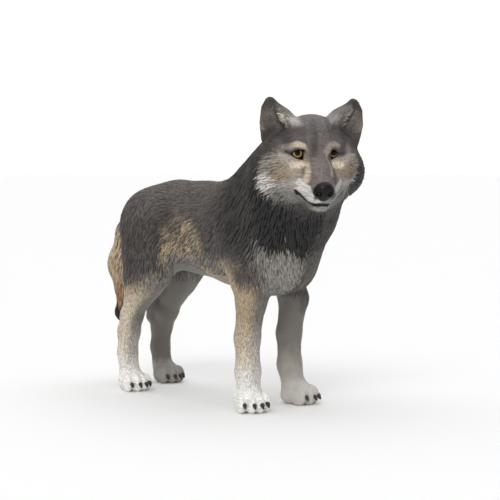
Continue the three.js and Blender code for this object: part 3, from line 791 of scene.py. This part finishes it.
def paint_ear(q, n):
    """Ears: pale front rim, dark hollow with a row of pale ridges, dark tips and backs."""
    x, y, z = in_ear_frame(q).T
    fine = noise(q, 0.7, 9)
    front = step(0.1, -0.5, n[:, 1])
    c = np.broadcast_to(linear(74, 68, 66), q.shape)
    hollow = linear(112, 103, 96) * (1 + 0.5 * fine)[:, None]
    c = wash(c, hollow, front)
    crease = step(0.75, 0.2, np.abs(x - comb_middle(q, z) - 1.0)) * step(-1, 0, z)
    c = wash(c, linear(56, 50, 48), 0.8 * crease * front)
    gap = step(0.5, 0.15, np.abs(x + 2.6 - 0.3 * (z - 2.1)))
    c = wash(c, linear(78, 70, 66), 0.7 * gap * front)
    rim = step(-2.3, -2.8, x - 0.3 * (z - 2.1))
    c = wash(c, linear(118, 111, 107), 0.9 * rim)
    foot = step(3.1, 1.6, z) * step(0.2, 1.2, z)
    # the pale foot and ridges are fainter on the far (left) ear: painted shade
    c = wash(c, linear(222, 217, 211), 0.9 * rim * foot * np.where(q[:, 0] > 0, 0.35, 1))
    outer_edge = spot(np.stack([x, y, z], 1), (2.8, -1.2, 0.7), (0.7, 2, 0.9), 0.6)
    c = wash(c, linear(170, 164, 152), 0.3 * outer_edge)
    c = wash(c, linear(192, 188, 170), np.where(q[:, 0] > 0, 0.5, 0.9) * ear_comb(q) * front)
    cap = step(4.2, 5.4, z + 0.35 * np.maximum(x, 0) + 0.5 * fine)
    c = wash(c, linear(52, 46, 45), 0.9 * cap)
    return wash(c, linear(72, 66, 64), step(1.0, 0.0, z))


def paint(p, n, parts):
    """The coat's colour at points of the surface, with their normals and part weights."""
    q, m = move(head_inverse, p), n @ HEAD_FRAME[:3, :3]
    body = paint_body(p, n)
    fore = (p[:, 1] < MIDDLE_Y)[:, None]
    leg = np.where(fore, paint_fore(p, n, body), paint_hind(p, n, body))
    # the far (left) paws' white is painted greyer, the hind one most: painted shade
    far_white_in_painted_shade = np.where(fore, linear(200, 197, 190), linear(142, 139, 134))
    foot = leg + 0.9 * (np.where(p[:, :1] > 0, far_white_in_painted_shade, WHITE) - leg)
    layers = [leg, leg, foot, paint_face(q, m), paint_ear(q, m), paint_tail(p)]
    return sum(w[:, None] * layer for w, layer in zip(parts, layers))


# ---- the lie of the coat ----
def lie(p, n, parts):
    """Per point: which way the coat lies, and a lock's length, width, height and lift there (mm)."""
    x, y, z = p.T
    q, m = move(head_inverse, p), n @ HEAD_FRAME[:3, :3]
    side = np.sign(q[:, 0])
    # body: back along the spine, steeper lower down and on the neck
    slope = np.radians(8 + 30 * step(44, 36, z) + 42 * step(34, 22, z))
    neck = step(-9, -16, y) * step(30, 36, z)
    slope = slope + neck * (np.radians(62) - slope)
    slope = np.where(n[:, 2] < -0.6, 0.2, slope)
    front = step(-0.35, -0.8, n[:, 1]) * step(-16, -22, y)
    body = np.stack([-0.25 * np.sign(x) * front, np.cos(slope) * (1 - front), -np.sin(slope) - front], 1)
    legs_down, toes, tail_down = np.array([(0, 0.12, -1), (0, -1, -0.6), (0, 0.15, -1)])
    cheek_way = step(2, 6, np.abs(q[:, 0])) * step(1.5, -1.5, q[:, 2])
    low = step(-5, -8, q[:, 2])
    face_way = np.stack([
        side * (0.15 + 0.75 * cheek_way * (1 - low) + 0.35 * low),
        1 - 0.45 * cheek_way,
        0.45 * (1 - cheek_way) - 0.42 * cheek_way - 0.5 * low,
    ], 1)
    fan = np.clip((q[:, 2] - 3) / 6, 0, 1)
    inside_ear = step(0.1, -0.4, m[:, 1])
    comb = ear_comb(q) * inside_ear
    ear_way = np.stack([
        side * (0.3 + 0.5 * inside_ear * (1 - fan) + comb),
        0.1 + 0 * x,
        1 - 0.4 * inside_ear - 0.9 * comb,
    ], 1)
    from_head = HEAD_FRAME[:3, :3].T
    ways = [body, legs_down, toes, face_way @ from_head, ear_way @ from_head, tail_down]
    way = sum(w[:, None] * v for w, v in zip(parts, ways))
    way = unit(way - n * (way * n).sum(1)[:, None])
    # sizes: length, width, height, lift
    ruffness = step(5.2, 8, np.abs(q[:, 0])) * step(1.5, -2, q[:, 2])
    ruffness = np.clip(ruffness + step(-6.5, -8, q[:, 2]) * step(-6, -2, q[:, 1]), 0, 1)
    haunch = step(4, 8, y) * step(22, 27, z)
    spine = step(-14, -10, y) * step(40.5, 43, z)
    sizes = [
        [1.75 + 1.2 * neck - 0.5 * spine, 0.42 + 0.16 * neck - 0.06 * spine,
         0.13 + 0.08 * neck - 0.03 * spine, 0.05 + 0.12 * neck],
        [1.05 + 0.75 * haunch, 0.28 + 0.15 * haunch, 0.06 + 0.07 * haunch, 0.02 + 0.03 * haunch],
        [0.8, 0.26, 0.05, 0.0],
        [0.8 + 2.0 * ruffness, 0.2 + 0.12 * ruffness, 0.03 + 0.1 * ruffness, 0.1 * ruffness],
        [0.9 + 0.3 * inside_ear + 0.1 * comb, 0.2 + 0.02 * inside_ear + 0.24 * comb,
         0.05 + 0.02 * inside_ear + 0.16 * comb, 0.01 + 0.02 * inside_ear + 0.07 * comb],
        [2.2, 0.5, 0.17, 0.14],
    ]
    return way, *[sum(w * s[k] for w, s in zip(parts, sizes)) for k in range(4)]


# ---- meshes ----
eye_middle = sum(np.array(v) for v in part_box("eye_left")) / 2 * 1000
SHIFT = eye_middle - move(HEAD_FRAME, np.array(EYE["at"]))
SHIFT[2] = 0  # the soles stay on the floor


def mesh_object(name, verts, faces):
    """A smooth mesh object in metres, from points in the wolf's millimetres."""
    mesh = bpy.data.meshes.new(name)
    faces = np.asarray(faces)
    mesh.vertices.add(len(verts))
    mesh.vertices.foreach_set("co", ((np.asarray(verts) + SHIFT) * 0.001).astype(F).ravel())
    mesh.loops.add(faces.size)
    mesh.loops.foreach_set("vertex_index", faces.ravel().astype(np.int32))
    mesh.polygons.add(len(faces))
    mesh.polygons.foreach_set("loop_start", np.arange(0, faces.size, faces.shape[1], dtype=np.int32))
    mesh.polygons.foreach_set("use_smooth", np.ones(len(faces), bool))
    mesh.update(calc_edges=True)
    mesh.validate()
    obj = bpy.data.objects.new(name, mesh)
    bpy.context.scene.collection.objects.link(obj)
    return obj


def tint(obj, colours):
    """Stores linear colours on the mesh's points."""
    layer = obj.data.color_attributes.new("paint", "FLOAT_COLOR", "POINT")
    rgba = np.ones((len(colours), 4), F)
    rgba[:, :3] = colours
    layer.data.foreach_set("color", rgba.ravel())


def store(obj, name, values):
    """Stores one number on each of the mesh's points."""
    layer = obj.data.attributes.new(name, "FLOAT", "POINT")
    layer.data.foreach_set("value", values.astype(F))


def finish_piece(obj, material, slot, *nodes):
    obj.data.materials.append(material)
    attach(obj, "root")
    if nodes:
        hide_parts(*nodes)


# ---- materials ----
def material(name, roughness, specular=0.5):
    mat = bpy.data.materials.new(name)
    mat.use_nodes = True
    tree = mat.node_tree
    shader = tree.nodes["Principled BSDF"]
    shader.inputs["Roughness"].default_value = roughness
    shader.inputs["Specular IOR Level"].default_value = specular
    return mat, tree, shader


def node(tree, kind, **values):
    made = tree.nodes.new(kind)
    for key, value in values.items():
        if key in made.inputs:
            made.inputs[key].default_value = value
        else:
            setattr(made, key, value)
    return made


def noise_node(tree, vector, scale, detail=2.0, rough=0.5):
    made = node(tree, "ShaderNodeTexNoise", Scale=scale, Detail=detail, Roughness=rough)
    tree.links.new(vector, made.inputs["Vector"])
    return made.outputs["Fac"]


def remap(tree, value, a, b, c, d):
    made = node(tree, "ShaderNodeMapRange")
    for key, v in zip(("From Min", "From Max", "To Min", "To Max"), (a, b, c, d)):
        made.inputs[key].default_value = v
    tree.links.new(value, made.inputs["Value"])
    return made.outputs["Result"]


def math_node(tree, operation, a, b):
    made = node(tree, "ShaderNodeMath", operation=operation)
    for i, v in enumerate((a, b)):
        if isinstance(v, (int, float)):
            made.inputs[i].default_value = v
        else:
            tree.links.new(v, made.inputs[i])
    return made.outputs[0]


def shade(tree, colour, value):
    """The colour times a value."""
    made = node(tree, "ShaderNodeVectorMath", operation="SCALE")
    tree.links.new(colour, made.inputs[0])
    tree.links.new(value, made.inputs["Scale"])
    return made.outputs[0]


def bump(tree, shader, height, strength, distance):
    made = node(tree, "ShaderNodeBump", Strength=strength, Distance=distance)
    tree.links.new(height, made.inputs["Height"])
    tree.links.new(made.outputs["Normal"], shader.inputs["Normal"])


def attribute(tree, name, output="Fac"):
    return node(tree, "ShaderNodeAttribute", attribute_name=name).outputs[output]


def object_place(tree):
    return node(tree, "ShaderNodeTexCoord").outputs["Object"]


STROKE = 2600  # strokes of the sculpted coat, per metre across


def strokes(tree, place):
    """Fine combed strokes, in the four slopes of the lie, weighted by the mesh's own 'slope' attribute."""
    slope = attribute(tree, "slope")
    total = None
    for i in range(4):
        turn = node(tree, "ShaderNodeMapping", vector_type="POINT")
        turn.inputs["Rotation"].default_value = (math.radians(30 * i), 0, 0)
        turn.inputs["Scale"].default_value = (1, 0.16, 1)
        tree.links.new(place, turn.inputs["Vector"])
        fac = noise_node(tree, turn.outputs[0], STROKE, 1.5, 0.55)
        near = math_node(tree, "ABSOLUTE", math_node(tree, "SUBTRACT", slope, i / 3), 0.0)
        weight = remap(tree, near, 0.0, 1 / 3, 1.0, 0.0)
        part = math_node(tree, "MULTIPLY", fac, weight)
        total = part if total is None else math_node(tree, "ADD", total, part)
    return total


def coat_material():
    """The locks: the paint attribute with a mottle and a fine grain."""
    mat, tree, shader = material("coat_paint", 0.52)
    place = object_place(tree)
    paint_colour = attribute(tree, "paint", "Color")
    mottle = remap(tree, noise_node(tree, place, 900, 3, 0.6), 0.3, 0.7, 0.86, 1.14)
    tree.links.new(shade(tree, paint_colour, mottle), shader.inputs["Base Color"])
    bump(tree, shader, noise_node(tree, place, 5200, 2, 0.5), 0.25, 0.00006)
    tree.links.new(remap(tree, mottle, 0.86, 1.14, 0.6, 0.46), shader.inputs["Roughness"])
    return mat


def skin_material():
    """The skin: the paint attribute with combed strokes, which fade where it is smooth."""
    mat, tree, shader = material("skin_paint", 0.5)
    place = object_place(tree)
    paint_colour = attribute(tree, "paint", "Color")
    combed = strokes(tree, place)
    comb = attribute(tree, "comb")
    wash_in = remap(tree, combed, 0.35, 0.62, -0.34, 0.14)
    wash_in = math_node(tree, "ADD", math_node(tree, "MULTIPLY", wash_in, comb), 1.0)
    tree.links.new(shade(tree, paint_colour, wash_in), shader.inputs["Base Color"])
    bump(tree, shader, math_node(tree, "MULTIPLY", combed, comb), 0.7, 0.00022)
    tree.links.new(remap(tree, combed, 0.3, 0.7, 0.62, 0.44), shader.inputs["Roughness"])
    return mat


# ---- skin ----
FLESH = [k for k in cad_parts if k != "nose" and not k.startswith("eye_") and "claw" not in k]
COAT_DEPTH = 0.06  # the skin's surface below the outline, under the locks
STAGE_LO = np.array([-16.2, -51.0, -1.2])
SKIN_CELLS = (108, 293, 232)


def on_face(p, size, back):
    q = move(head_inverse, p)
    return (np.abs(q) < size).all(1) & (q[:, 1] < back)


def fine_here(p):
    return on_face(p, (11, 15, 10), 6) | (p[:, 2] < 5.5)


def finest_here(p):
    return on_face(p, (6.4, 15, 9.5), -3.2)


values = band_values(wolf, STAGE_LO, SKIN_CELLS, GRID)
skin_verts, quads = surface_nets(values, STAGE_LO, GRID)
skin_tris = triangles(skin_verts, quads)
skin_verts, skin_tris = refine(skin_verts, skin_tris, fine_here)
skin_verts, skin_tris = refine(skin_verts, skin_tris, finest_here)
skin_verts, skin_normals = settle(wolf, skin_verts)
skin_parts = parts_of(skin_verts)
skin_way, *skin_size = lie(skin_verts, skin_normals, skin_parts)
skin_colour = paint(skin_verts, skin_normals, skin_parts)
plain = smooth_side(skin_verts, skin_normals, skin_parts)
shaggy = step(0.05, 0.14, skin_size[2]) * (1 - plain)  # how high the locks stand here
skin = mesh_object("skin", skin_verts - skin_normals * (COAT_DEPTH * shaggy)[:, None], skin_tris)
tint(skin, skin_colour * (1 - 0.45 * shaggy)[:, None])
steepness = np.arctan2(np.abs(skin_way[:, 2]), np.hypot(skin_way[:, 0], skin_way[:, 1])) / (math.pi / 2)
store(skin, "slope", steepness)
store(skin, "comb", 1 - 0.85 * plain)
finish_piece(skin, skin_material(), "coat_grey", *FLESH)

# ---- coat ----
STATIONS = np.array([0.0, 0.22, 0.5, 0.78, 1.0])
WIDTHS = np.array([0.0, 0.85, 1.0, 0.66, 0.0])
RIDGES = np.array([0.0, 0.8, 1.0, 0.6, 0.0])
RINGS = len(STATIONS) - 2
SINK = 0.10  # a lock's root below the surface
KEEL = 0.12  # a lock's underside below its middle
RING_TONES = [0.6, 1.15, 0.6, 0.4]  # paint on a lock's edge, ridge, other edge and keel
ROOT_TONE, TIP_TONE = 0.62, 1.05
ROOTS = 400_000  # places tried before thinning
SPACING = 0.57  # between roots, times the root of a lock's length and width
PATCH = 0.003  # a lock's patch on the OFBake map
MAP_SIDE = 85  # millimetres of the skin across one tile of that map
ASTRAY = np.array([0.6, 0.5, 0.3, 0.22, 0.12, 0.4])  # how far a lock's colour strays, per part
coat_paint = coat_material()


def scatter(count):
    """Random points on the skin's surface, spread evenly over its area."""
    a, b, c = (skin_verts[skin_tris[:, i]] for i in range(3))
    area = np.linalg.norm(np.cross(b - a, c - a), axis=1)
    t = rng.choice(len(skin_tris), count, p=area / area.sum())
    u, v = rng.random((2, count, 1))
    u, v = np.where(u + v > 1, 1 - u, u), np.where(u + v > 1, 1 - v, v)
    w = 1 - u - v
    mix = lambda data: w * data[skin_tris[t, 0]] + u * data[skin_tris[t, 1]] + v * data[skin_tris[t, 2]]
    normal = mix(skin_normals)
    return mix(skin_verts), normal / np.linalg.norm(normal, axis=1, keepdims=True)


def thinned(p, spacing):
    """Keeps one point per cell of about its own spacing."""
    keep = np.zeros(len(p), bool)
    level = np.round(np.log(spacing) / np.log(1.12)).astype(int)
    for k in np.unique(level):
        at = np.flatnonzero(level == k)
        cell = np.floor((p[at] + 60) / 1.12**k).astype(np.int64)
        first = np.unique(cell @ np.array([1, 4096, 4096**2]), return_index=True)[1]
        keep[at[first]] = True
    return keep


def box_map(p, n):
    """The roots' places on a six-tile unwrap of the skin, two coordinates for each way it faces."""
    axis = np.abs(n).argmax(1)
    rows = np.arange(len(p))
    tile = axis * 2 + (n[rows, axis] > 0)
    q = (p - STAGE_LO) / MAP_SIDE
    u = np.where(axis == 0, q[:, 1], q[:, 0])
    v = np.where(axis == 2, q[:, 1], q[:, 2])
    return np.stack([(tile % 3 + 0.03 + 0.94 * u) / 3, (tile // 3 + 0.03 + 0.94 * v) / 2], 1)


def lock_faces(count):
    """Triangles of count closed locks, each a root, RINGS rings of four points and a tip."""
    ring = np.arange(4)
    after = (ring + 1) % 4
    faces = [np.stack([0 * ring, 1 + after, 1 + ring], 1)]
    for r in range(RINGS - 1):
        a, b = 1 + 4 * r + ring, 1 + 4 * r + after
        faces += [np.stack([a, b, a + 4], 1), np.stack([b, b + 4, a + 4], 1)]
    last = 1 + 4 * (RINGS - 1)
    faces.append(np.stack([last + ring, last + after, 0 * ring + last + 4], 1))
    one = np.concatenate(faces)
    size = last + 5
    return (one[None] + (np.arange(count) * size)[:, None, None]).reshape(-1, 3), size


def grow(p, n, parts):
    """Traces every lock along the lie of the coat and returns its points and colours."""
    way, length, width, height, lift = lie(p, n, parts)
    count = len(p)
    jitter = lambda spread: 1 + spread * (rng.random(count) - 0.5)
    length, width = length * jitter(0.5), width * jitter(0.4)
    height, lift = height * jitter(0.5), lift * jitter(1.2)
    lean = np.radians(22) * (rng.random(count) - 0.5)
    astray = p + rng.normal(0, 1, p.shape) * (parts.T @ ASTRAY)[:, None]
    base = paint(astray, n, parts)
    points, tones = [], []
    at, normal = p, n
    for k, s in enumerate(STATIONS):
        if k:
            across = np.cross(way, normal)
            heading = way * np.cos(lean)[:, None] + across * np.sin(lean)[:, None]
            at = at + heading * (length * (s - STATIONS[k - 1]))[:, None]
            at, normal = settle(wolf, at, steps=1)
            way = unit(way - normal * (way * normal).sum(1)[:, None])
        across = np.cross(way, normal)
        centre = at + (-SINK + (lift + SINK) * s)[:, None] * normal
        if k in (0, len(STATIONS) - 1):
            points.append(centre)
            tones.append(ROOT_TONE if k == 0 else TIP_TONE)
            continue
        half = across * (width * 0.5 * WIDTHS[k])[:, None]
        ridge = normal * (height * RIDGES[k])[:, None]
        points += [centre + half, centre + ridge, centre - half, centre - normal * KEEL]
        tones += RING_TONES
    points = np.stack(points, 1)
    flank = step(-19, -13, p[:, 1])
    contrast = sum(share * w for share, w in zip((0.5 + 0.6 * flank, 0.95, 0.6, 0.9, 0.6, 0.7), parts))
    tones = np.array(tones) * (0.97 + contrast * (rng.random(count) - 0.5))[:, None]
    colours = base[:, None, :] * tones[:, :, None]
    return points.reshape(-1, 3), colours.reshape(-1, 3)


def coat_piece(name, p, n, parts):
    points, colours = grow(p, n, parts)
    faces, size = lock_faces(len(p))
    points[:, 2] = np.maximum(points[:, 2], 0.02)
    piece = mesh_object(name, points, faces)
    tint(piece, np.clip(colours, 0, 1))
    inner = np.stack([np.linspace(0, 1, size), np.arange(size) * 0.37 % 1], 1) * PATCH
    uv = (box_map(p, n)[:, None, :] + inner[None]).reshape(-1, 2)
    layer = piece.data.uv_layers.new(name="OFBake")
    layer.data.foreach_set("uv", uv[faces.ravel()].astype(F).ravel())
    finish_piece(piece, coat_paint, "coat_grey")


root, root_normal = scatter(ROOTS)
root_parts = parts_of(root)
_, root_length, root_width, _, _ = lie(root, root_normal, root_parts)
keep = thinned(root, np.sqrt(root_length * root_width) * SPACING)
head_point = move(head_inverse, root)
near_eye = eye_outline(head_point[:, 0], head_point[:, 2])
bare = (np.abs(head_point[:, 0]) < 6.5) & (head_point[:, 1] < -3) & (near_eye < 0.45)
bare |= (head_point[:, 1] < -4) & (sample(mouth, head_point) < 0.3)
bare |= smooth_side(root, root_normal, root_parts) > rng.random(len(root))
bare |= (head_point[:, 1] < -12.0) & (root_parts[3] > 0.5)
bare |= root[:, 2] < 0.5
keep &= ~bare
root, root_normal, root_parts = root[keep], root_normal[keep], root_parts[:, keep]

part = root_parts.argmax(0)
left = root[:, 0] > 0
left_face = head_point[keep][:, 0] > 0
fore = root[:, 1] < MIDDLE_Y
high = root[:, 2] > 26
COAT = {
    "coat_tail": part == 5,
    "coat_ears": part == 4,
    "coat_neck": (part == 0) & (root[:, 1] < -15),
}
for label, here, face_here in (("left", left, left_face), ("right", ~left, ~left_face)):
    COAT[f"coat_face_{label}"] = (part == 3) & face_here
    COAT[f"coat_flank_{label}"] = (part == 0) & (root[:, 1] >= -15) & here
    limb = ((part == 1) | (part == 2)) & here
    COAT[f"coat_foreleg_{label}"] = limb & fore
    COAT[f"coat_thigh_{label}"] = limb & ~fore & high
    COAT[f"coat_hindleg_{label}"] = limb & ~fore & ~high
for name, pick in COAT.items():
    coat_piece(name, root[pick], root_normal[pick], root_parts[:, pick])


# ---- nose, eyes and claws ----
def small_form(name, field, matrix, lo, size, h):
    """A smooth mesh of a field in its own frame, placed by a matrix."""
    n = tuple(int(s / h) + 2 for s in size)
    values = band_values(field, np.array(lo, float), n, h, band=1e9)
    verts, quads = surface_nets(values, np.array(lo, float), h)
    verts, _ = settle(field, verts, steps=3)
    return mesh_object(name, move(matrix, verts), triangles(verts, quads))


def nose_field():
    at, r = np.array(NOSE["at"]), NOSE["radii"]
    wing = mirror(blob((1.15, at[1] - 0.2, at[2] - 0.2), (0.98, 1.15, 1.0)))
    pad = blend(0.4, blob(at, r), wing, blob(at + [0, 0, -1], (1.2, 1.2, 1.2)))
    low = np.array([0, at[1], at[2]])
    slit = cone(low + [1.5, -1.4, -0.3], low + [2.15, -0.9, -0.7], 0.28, 0.17)
    nostril = blend(0.15, blob(low + [1.2, -1.5, -0.25], (0.68, 0.8, 0.56)), slit)
    cleft = cone(at + [0, -1.75, -0.5], at + [0, -1.2, -2.2], 0.13, 0.16)
    return carve(0.15, carve(0.12, pad, mirror(nostril)), cleft)


def mottled(tree, shader, dark, light, noise_here):
    """Base colour: noise between a dark and a light paint."""
    colour = node(tree, "ShaderNodeMix", data_type="RGBA")
    colour.inputs["A"].default_value = (*linear(*dark), 1)
    colour.inputs["B"].default_value = (*linear(*light), 1)
    tree.links.new(noise_here, colour.inputs["Factor"])
    tree.links.new(colour.outputs["Result"], shader.inputs["Base Color"])


def nose_material():
    mat, tree, shader = material("nose_paint", 0.36, specular=0.2)
    place = object_place(tree)
    grain = node(tree, "ShaderNodeTexVoronoi", Scale=3600.0)
    tree.links.new(place, grain.inputs["Vector"])
    mottled(tree, shader, (16, 16, 17), (30, 30, 31), noise_node(tree, place, 1200))
    bump(tree, shader, grain.outputs["Distance"], 0.25, 0.00008)
    return mat


def claw_material():
    mat, tree, shader = material("claw_paint", 0.3)
    place = object_place(tree)
    mottled(tree, shader, (34, 29, 27), (62, 54, 49), noise_node(tree, place, 2500, 3))
    bump(tree, shader, noise_node(tree, place, 4000), 0.2, 0.00005)
    return mat


IRIS = 1.08  # its radius on the ball, in millimetres


def eye_material():
    """Amber iris with a dark edge and a black pupil, by each point's distance from the gaze's middle; the
    'lid' attribute darkens it with the lash line and painted shadow of the lids.
    """
    mat, tree, shader = material("eye_paint", 0.25, specular=0.12)
    off = attribute(tree, "off_gaze")
    place = object_place(tree)
    uneven = math_node(tree, "SUBTRACT", noise_node(tree, place, 2200, 2), 0.5)
    wobble = math_node(tree, "MULTIPLY", uneven, 0.12)
    ramp = node(tree, "ShaderNodeValToRGB")
    tree.links.new(math_node(tree, "ADD", off, wobble), ramp.inputs["Fac"])
    rows = [(0, (5, 5, 6)), (0.42, (10, 9, 8)), (0.5, (96, 80, 46)), (0.68, (158, 138, 88))]
    rows += [(0.82, (138, 110, 66)), (0.94, (70, 54, 36)), (1, (20, 16, 14))]
    ramp.color_ramp.elements[0].color = (*linear(*rows[0][1]), 1)
    ramp.color_ramp.elements[1].color = (*linear(*rows[-1][1]), 1)
    for where, rgb in rows[1:-1]:
        ramp.color_ramp.elements.new(where).color = (*linear(*rgb), 1)
    lid_shade = attribute(tree, "lid")
    tree.links.new(shade(tree, ramp.outputs["Color"], lid_shade), shader.inputs["Base Color"])
    return mat


nose = small_form("nose_pad", nose_field(), HEAD_FRAME, (-3.2, -15.6, -7.6), (6.4, 5.4, 6.2), 0.09)
finish_piece(nose, nose_material(), "nose_black", "nose")
eye_paint = eye_material()
for side, label in ((1, "left"), (-1, "right")):
    middle = np.array([side * EYE["at"][0], *EYE["at"][1:]])
    across, up = EYE["gaze"][label]
    gaze = np.array([across, -math.sqrt(1 - across**2 - up**2), up])
    bulge = blob(middle + gaze * 0.35, [EYE["radius"] * 0.84] * 3)
    ball = blend(0.3, blob(middle, [EYE["radius"]] * 3), bulge)
    eye = small_form(f"eye_{label}_ball", ball, HEAD_FRAME, middle - 2.4, (4.8, 4.8, 4.8), 0.12)
    place = move(head_inverse, np.array([v.co for v in eye.data.vertices]) * 1000 - SHIFT)
    off = np.linalg.norm(np.cross(place - middle, gaze), axis=1) / IRIS
    off = np.where((place - middle) @ gaze < 0, 2, off)
    # the lash line round the opening and the painted shadow of the lids on the ball, wider under the upper
    # lid
    depth = -eye_outline(place[:, 0], place[:, 2])
    over = step(0.8, 1.9, place[:, 2])
    lid = step(0.05 + 0.12 * over, 0.2 + 0.35 * over, depth)
    store(eye, "off_gaze", off)
    store(eye, "lid", 0.05 + 0.95 * lid)
    finish_piece(eye, eye_paint, "eye_amber", f"eye_{label}")

claw_paint = claw_material()
HOOK = [((0, 0.5, 0.35), 0.44), ((0, -0.05, 0.2), 0.41), ((0, -0.4, -0.35), 0.24)]  # from a toe's tip
for row, legs_here in (("foreleg", FORE), ("hindleg", HIND)):
    for label, leg in legs_here.items():
        for i, t in enumerate(TOES):
            at, radii, _ = toe_shape(t, leg["size"])
            tip = np.array([at[0], at[1] - radii[1], at[2] - 0.2])
            hook = chain(0.15, [(*(tip + np.array(place)), radius) for place, radius in HOOK])
            name = f"{row}_{label}_claw_{i + 1}"
            corner = tip - [1.2, 1.4, 1.4]
            claw = small_form(f"{name}_tip", hook, paw_frame(leg), corner, (2.4, 2.8, 2.8), 0.1)
            finish_piece(claw, claw_paint, "claw_black", name)

# ---- stage ----
scene = bpy.context.scene
scene.view_settings.view_transform = "Standard"


def glowing(name, roughness, grey, specular, glow):
    """A plain grey that also gives off some white light."""
    mat, _, shader = material(name, roughness, specular)
    shader.inputs["Base Color"].default_value = (grey, grey, grey, 1)
    shader.inputs["Emission Color"].default_value = (1, 1, 1, 1)
    shader.inputs["Emission Strength"].default_value = glow
    return mat


def floor_piece():
    """A wide pale floor, in metres, with a little light of its own."""
    bpy.ops.mesh.primitive_plane_add(size=30, location=(0, 0, 0))
    floor = bpy.context.object
    floor.name = "floor"
    floor.data.materials.append(glowing("floor_paint", roughness=0.7, grey=0.88, specular=0.2, glow=0.03))


def soft_sun(name, toward, strength, spread):
    """A sun with a wide disc, shining from the given direction."""
    light = bpy.data.objects.new(name, bpy.data.lights.new(name, "SUN"))
    light.data.energy, light.data.angle = strength, math.radians(spread)
    light.rotation_mode = "QUATERNION"
    light.rotation_quaternion = Vector(toward).to_track_quat("Z", "Y")
    scene.collection.objects.link(light)


def sky_piece():
    """A far white dome that only the camera sees."""
    bpy.ops.mesh.primitive_uv_sphere_add(segments=48, ring_count=24, radius=14)
    dome = bpy.context.object
    dome.name = "backdrop"
    white = glowing("backdrop_white", roughness=1.0, grey=0, specular=0, glow=1.05)
    dome.data.materials.append(white)
    dome.visible_diffuse = dome.visible_glossy = dome.visible_shadow = False


floor_piece()
sky_piece()
scene.world = scene.world or bpy.data.worlds.new("World")
scene.world.use_nodes = True
background = scene.world.node_tree.nodes["Background"]
background.inputs["Color"].default_value = (1, 1, 1, 1)
background.inputs["Strength"].default_value = 0.32
soft_sun("top_light", (0.1, 0.14, 1), strength=1.9, spread=90)
soft_sun("key_light", (-0.62, -0.5, 0.6), strength=1.1, spread=25)

# ---- camera ----
SENSOR = 36  # millimetres
FOCAL = 3.306 * SENSOR
AZIMUTH, ELEVATION, DISTANCE = math.radians(-39.5), math.radians(2.8), 0.380
TARGET = Vector(((np.array((17.14, 8.17, 31.5)) + SHIFT) * 0.001).tolist())
camera = bpy.data.objects.new("camera", bpy.data.cameras.new("camera"))
scene.collection.objects.link(camera)
scene.camera = camera
camera.data.lens, camera.data.sensor_width, camera.data.clip_start = FOCAL, SENSOR, 0.01
level = math.cos(ELEVATION)
away = Vector((math.sin(AZIMUTH) * level, -math.cos(AZIMUTH) * level, math.sin(ELEVATION)))
camera.location = TARGET + away * DISTANCE
camera.rotation_mode = "QUATERNION"
camera.rotation_quaternion = away.to_track_quat("Z", "Y")
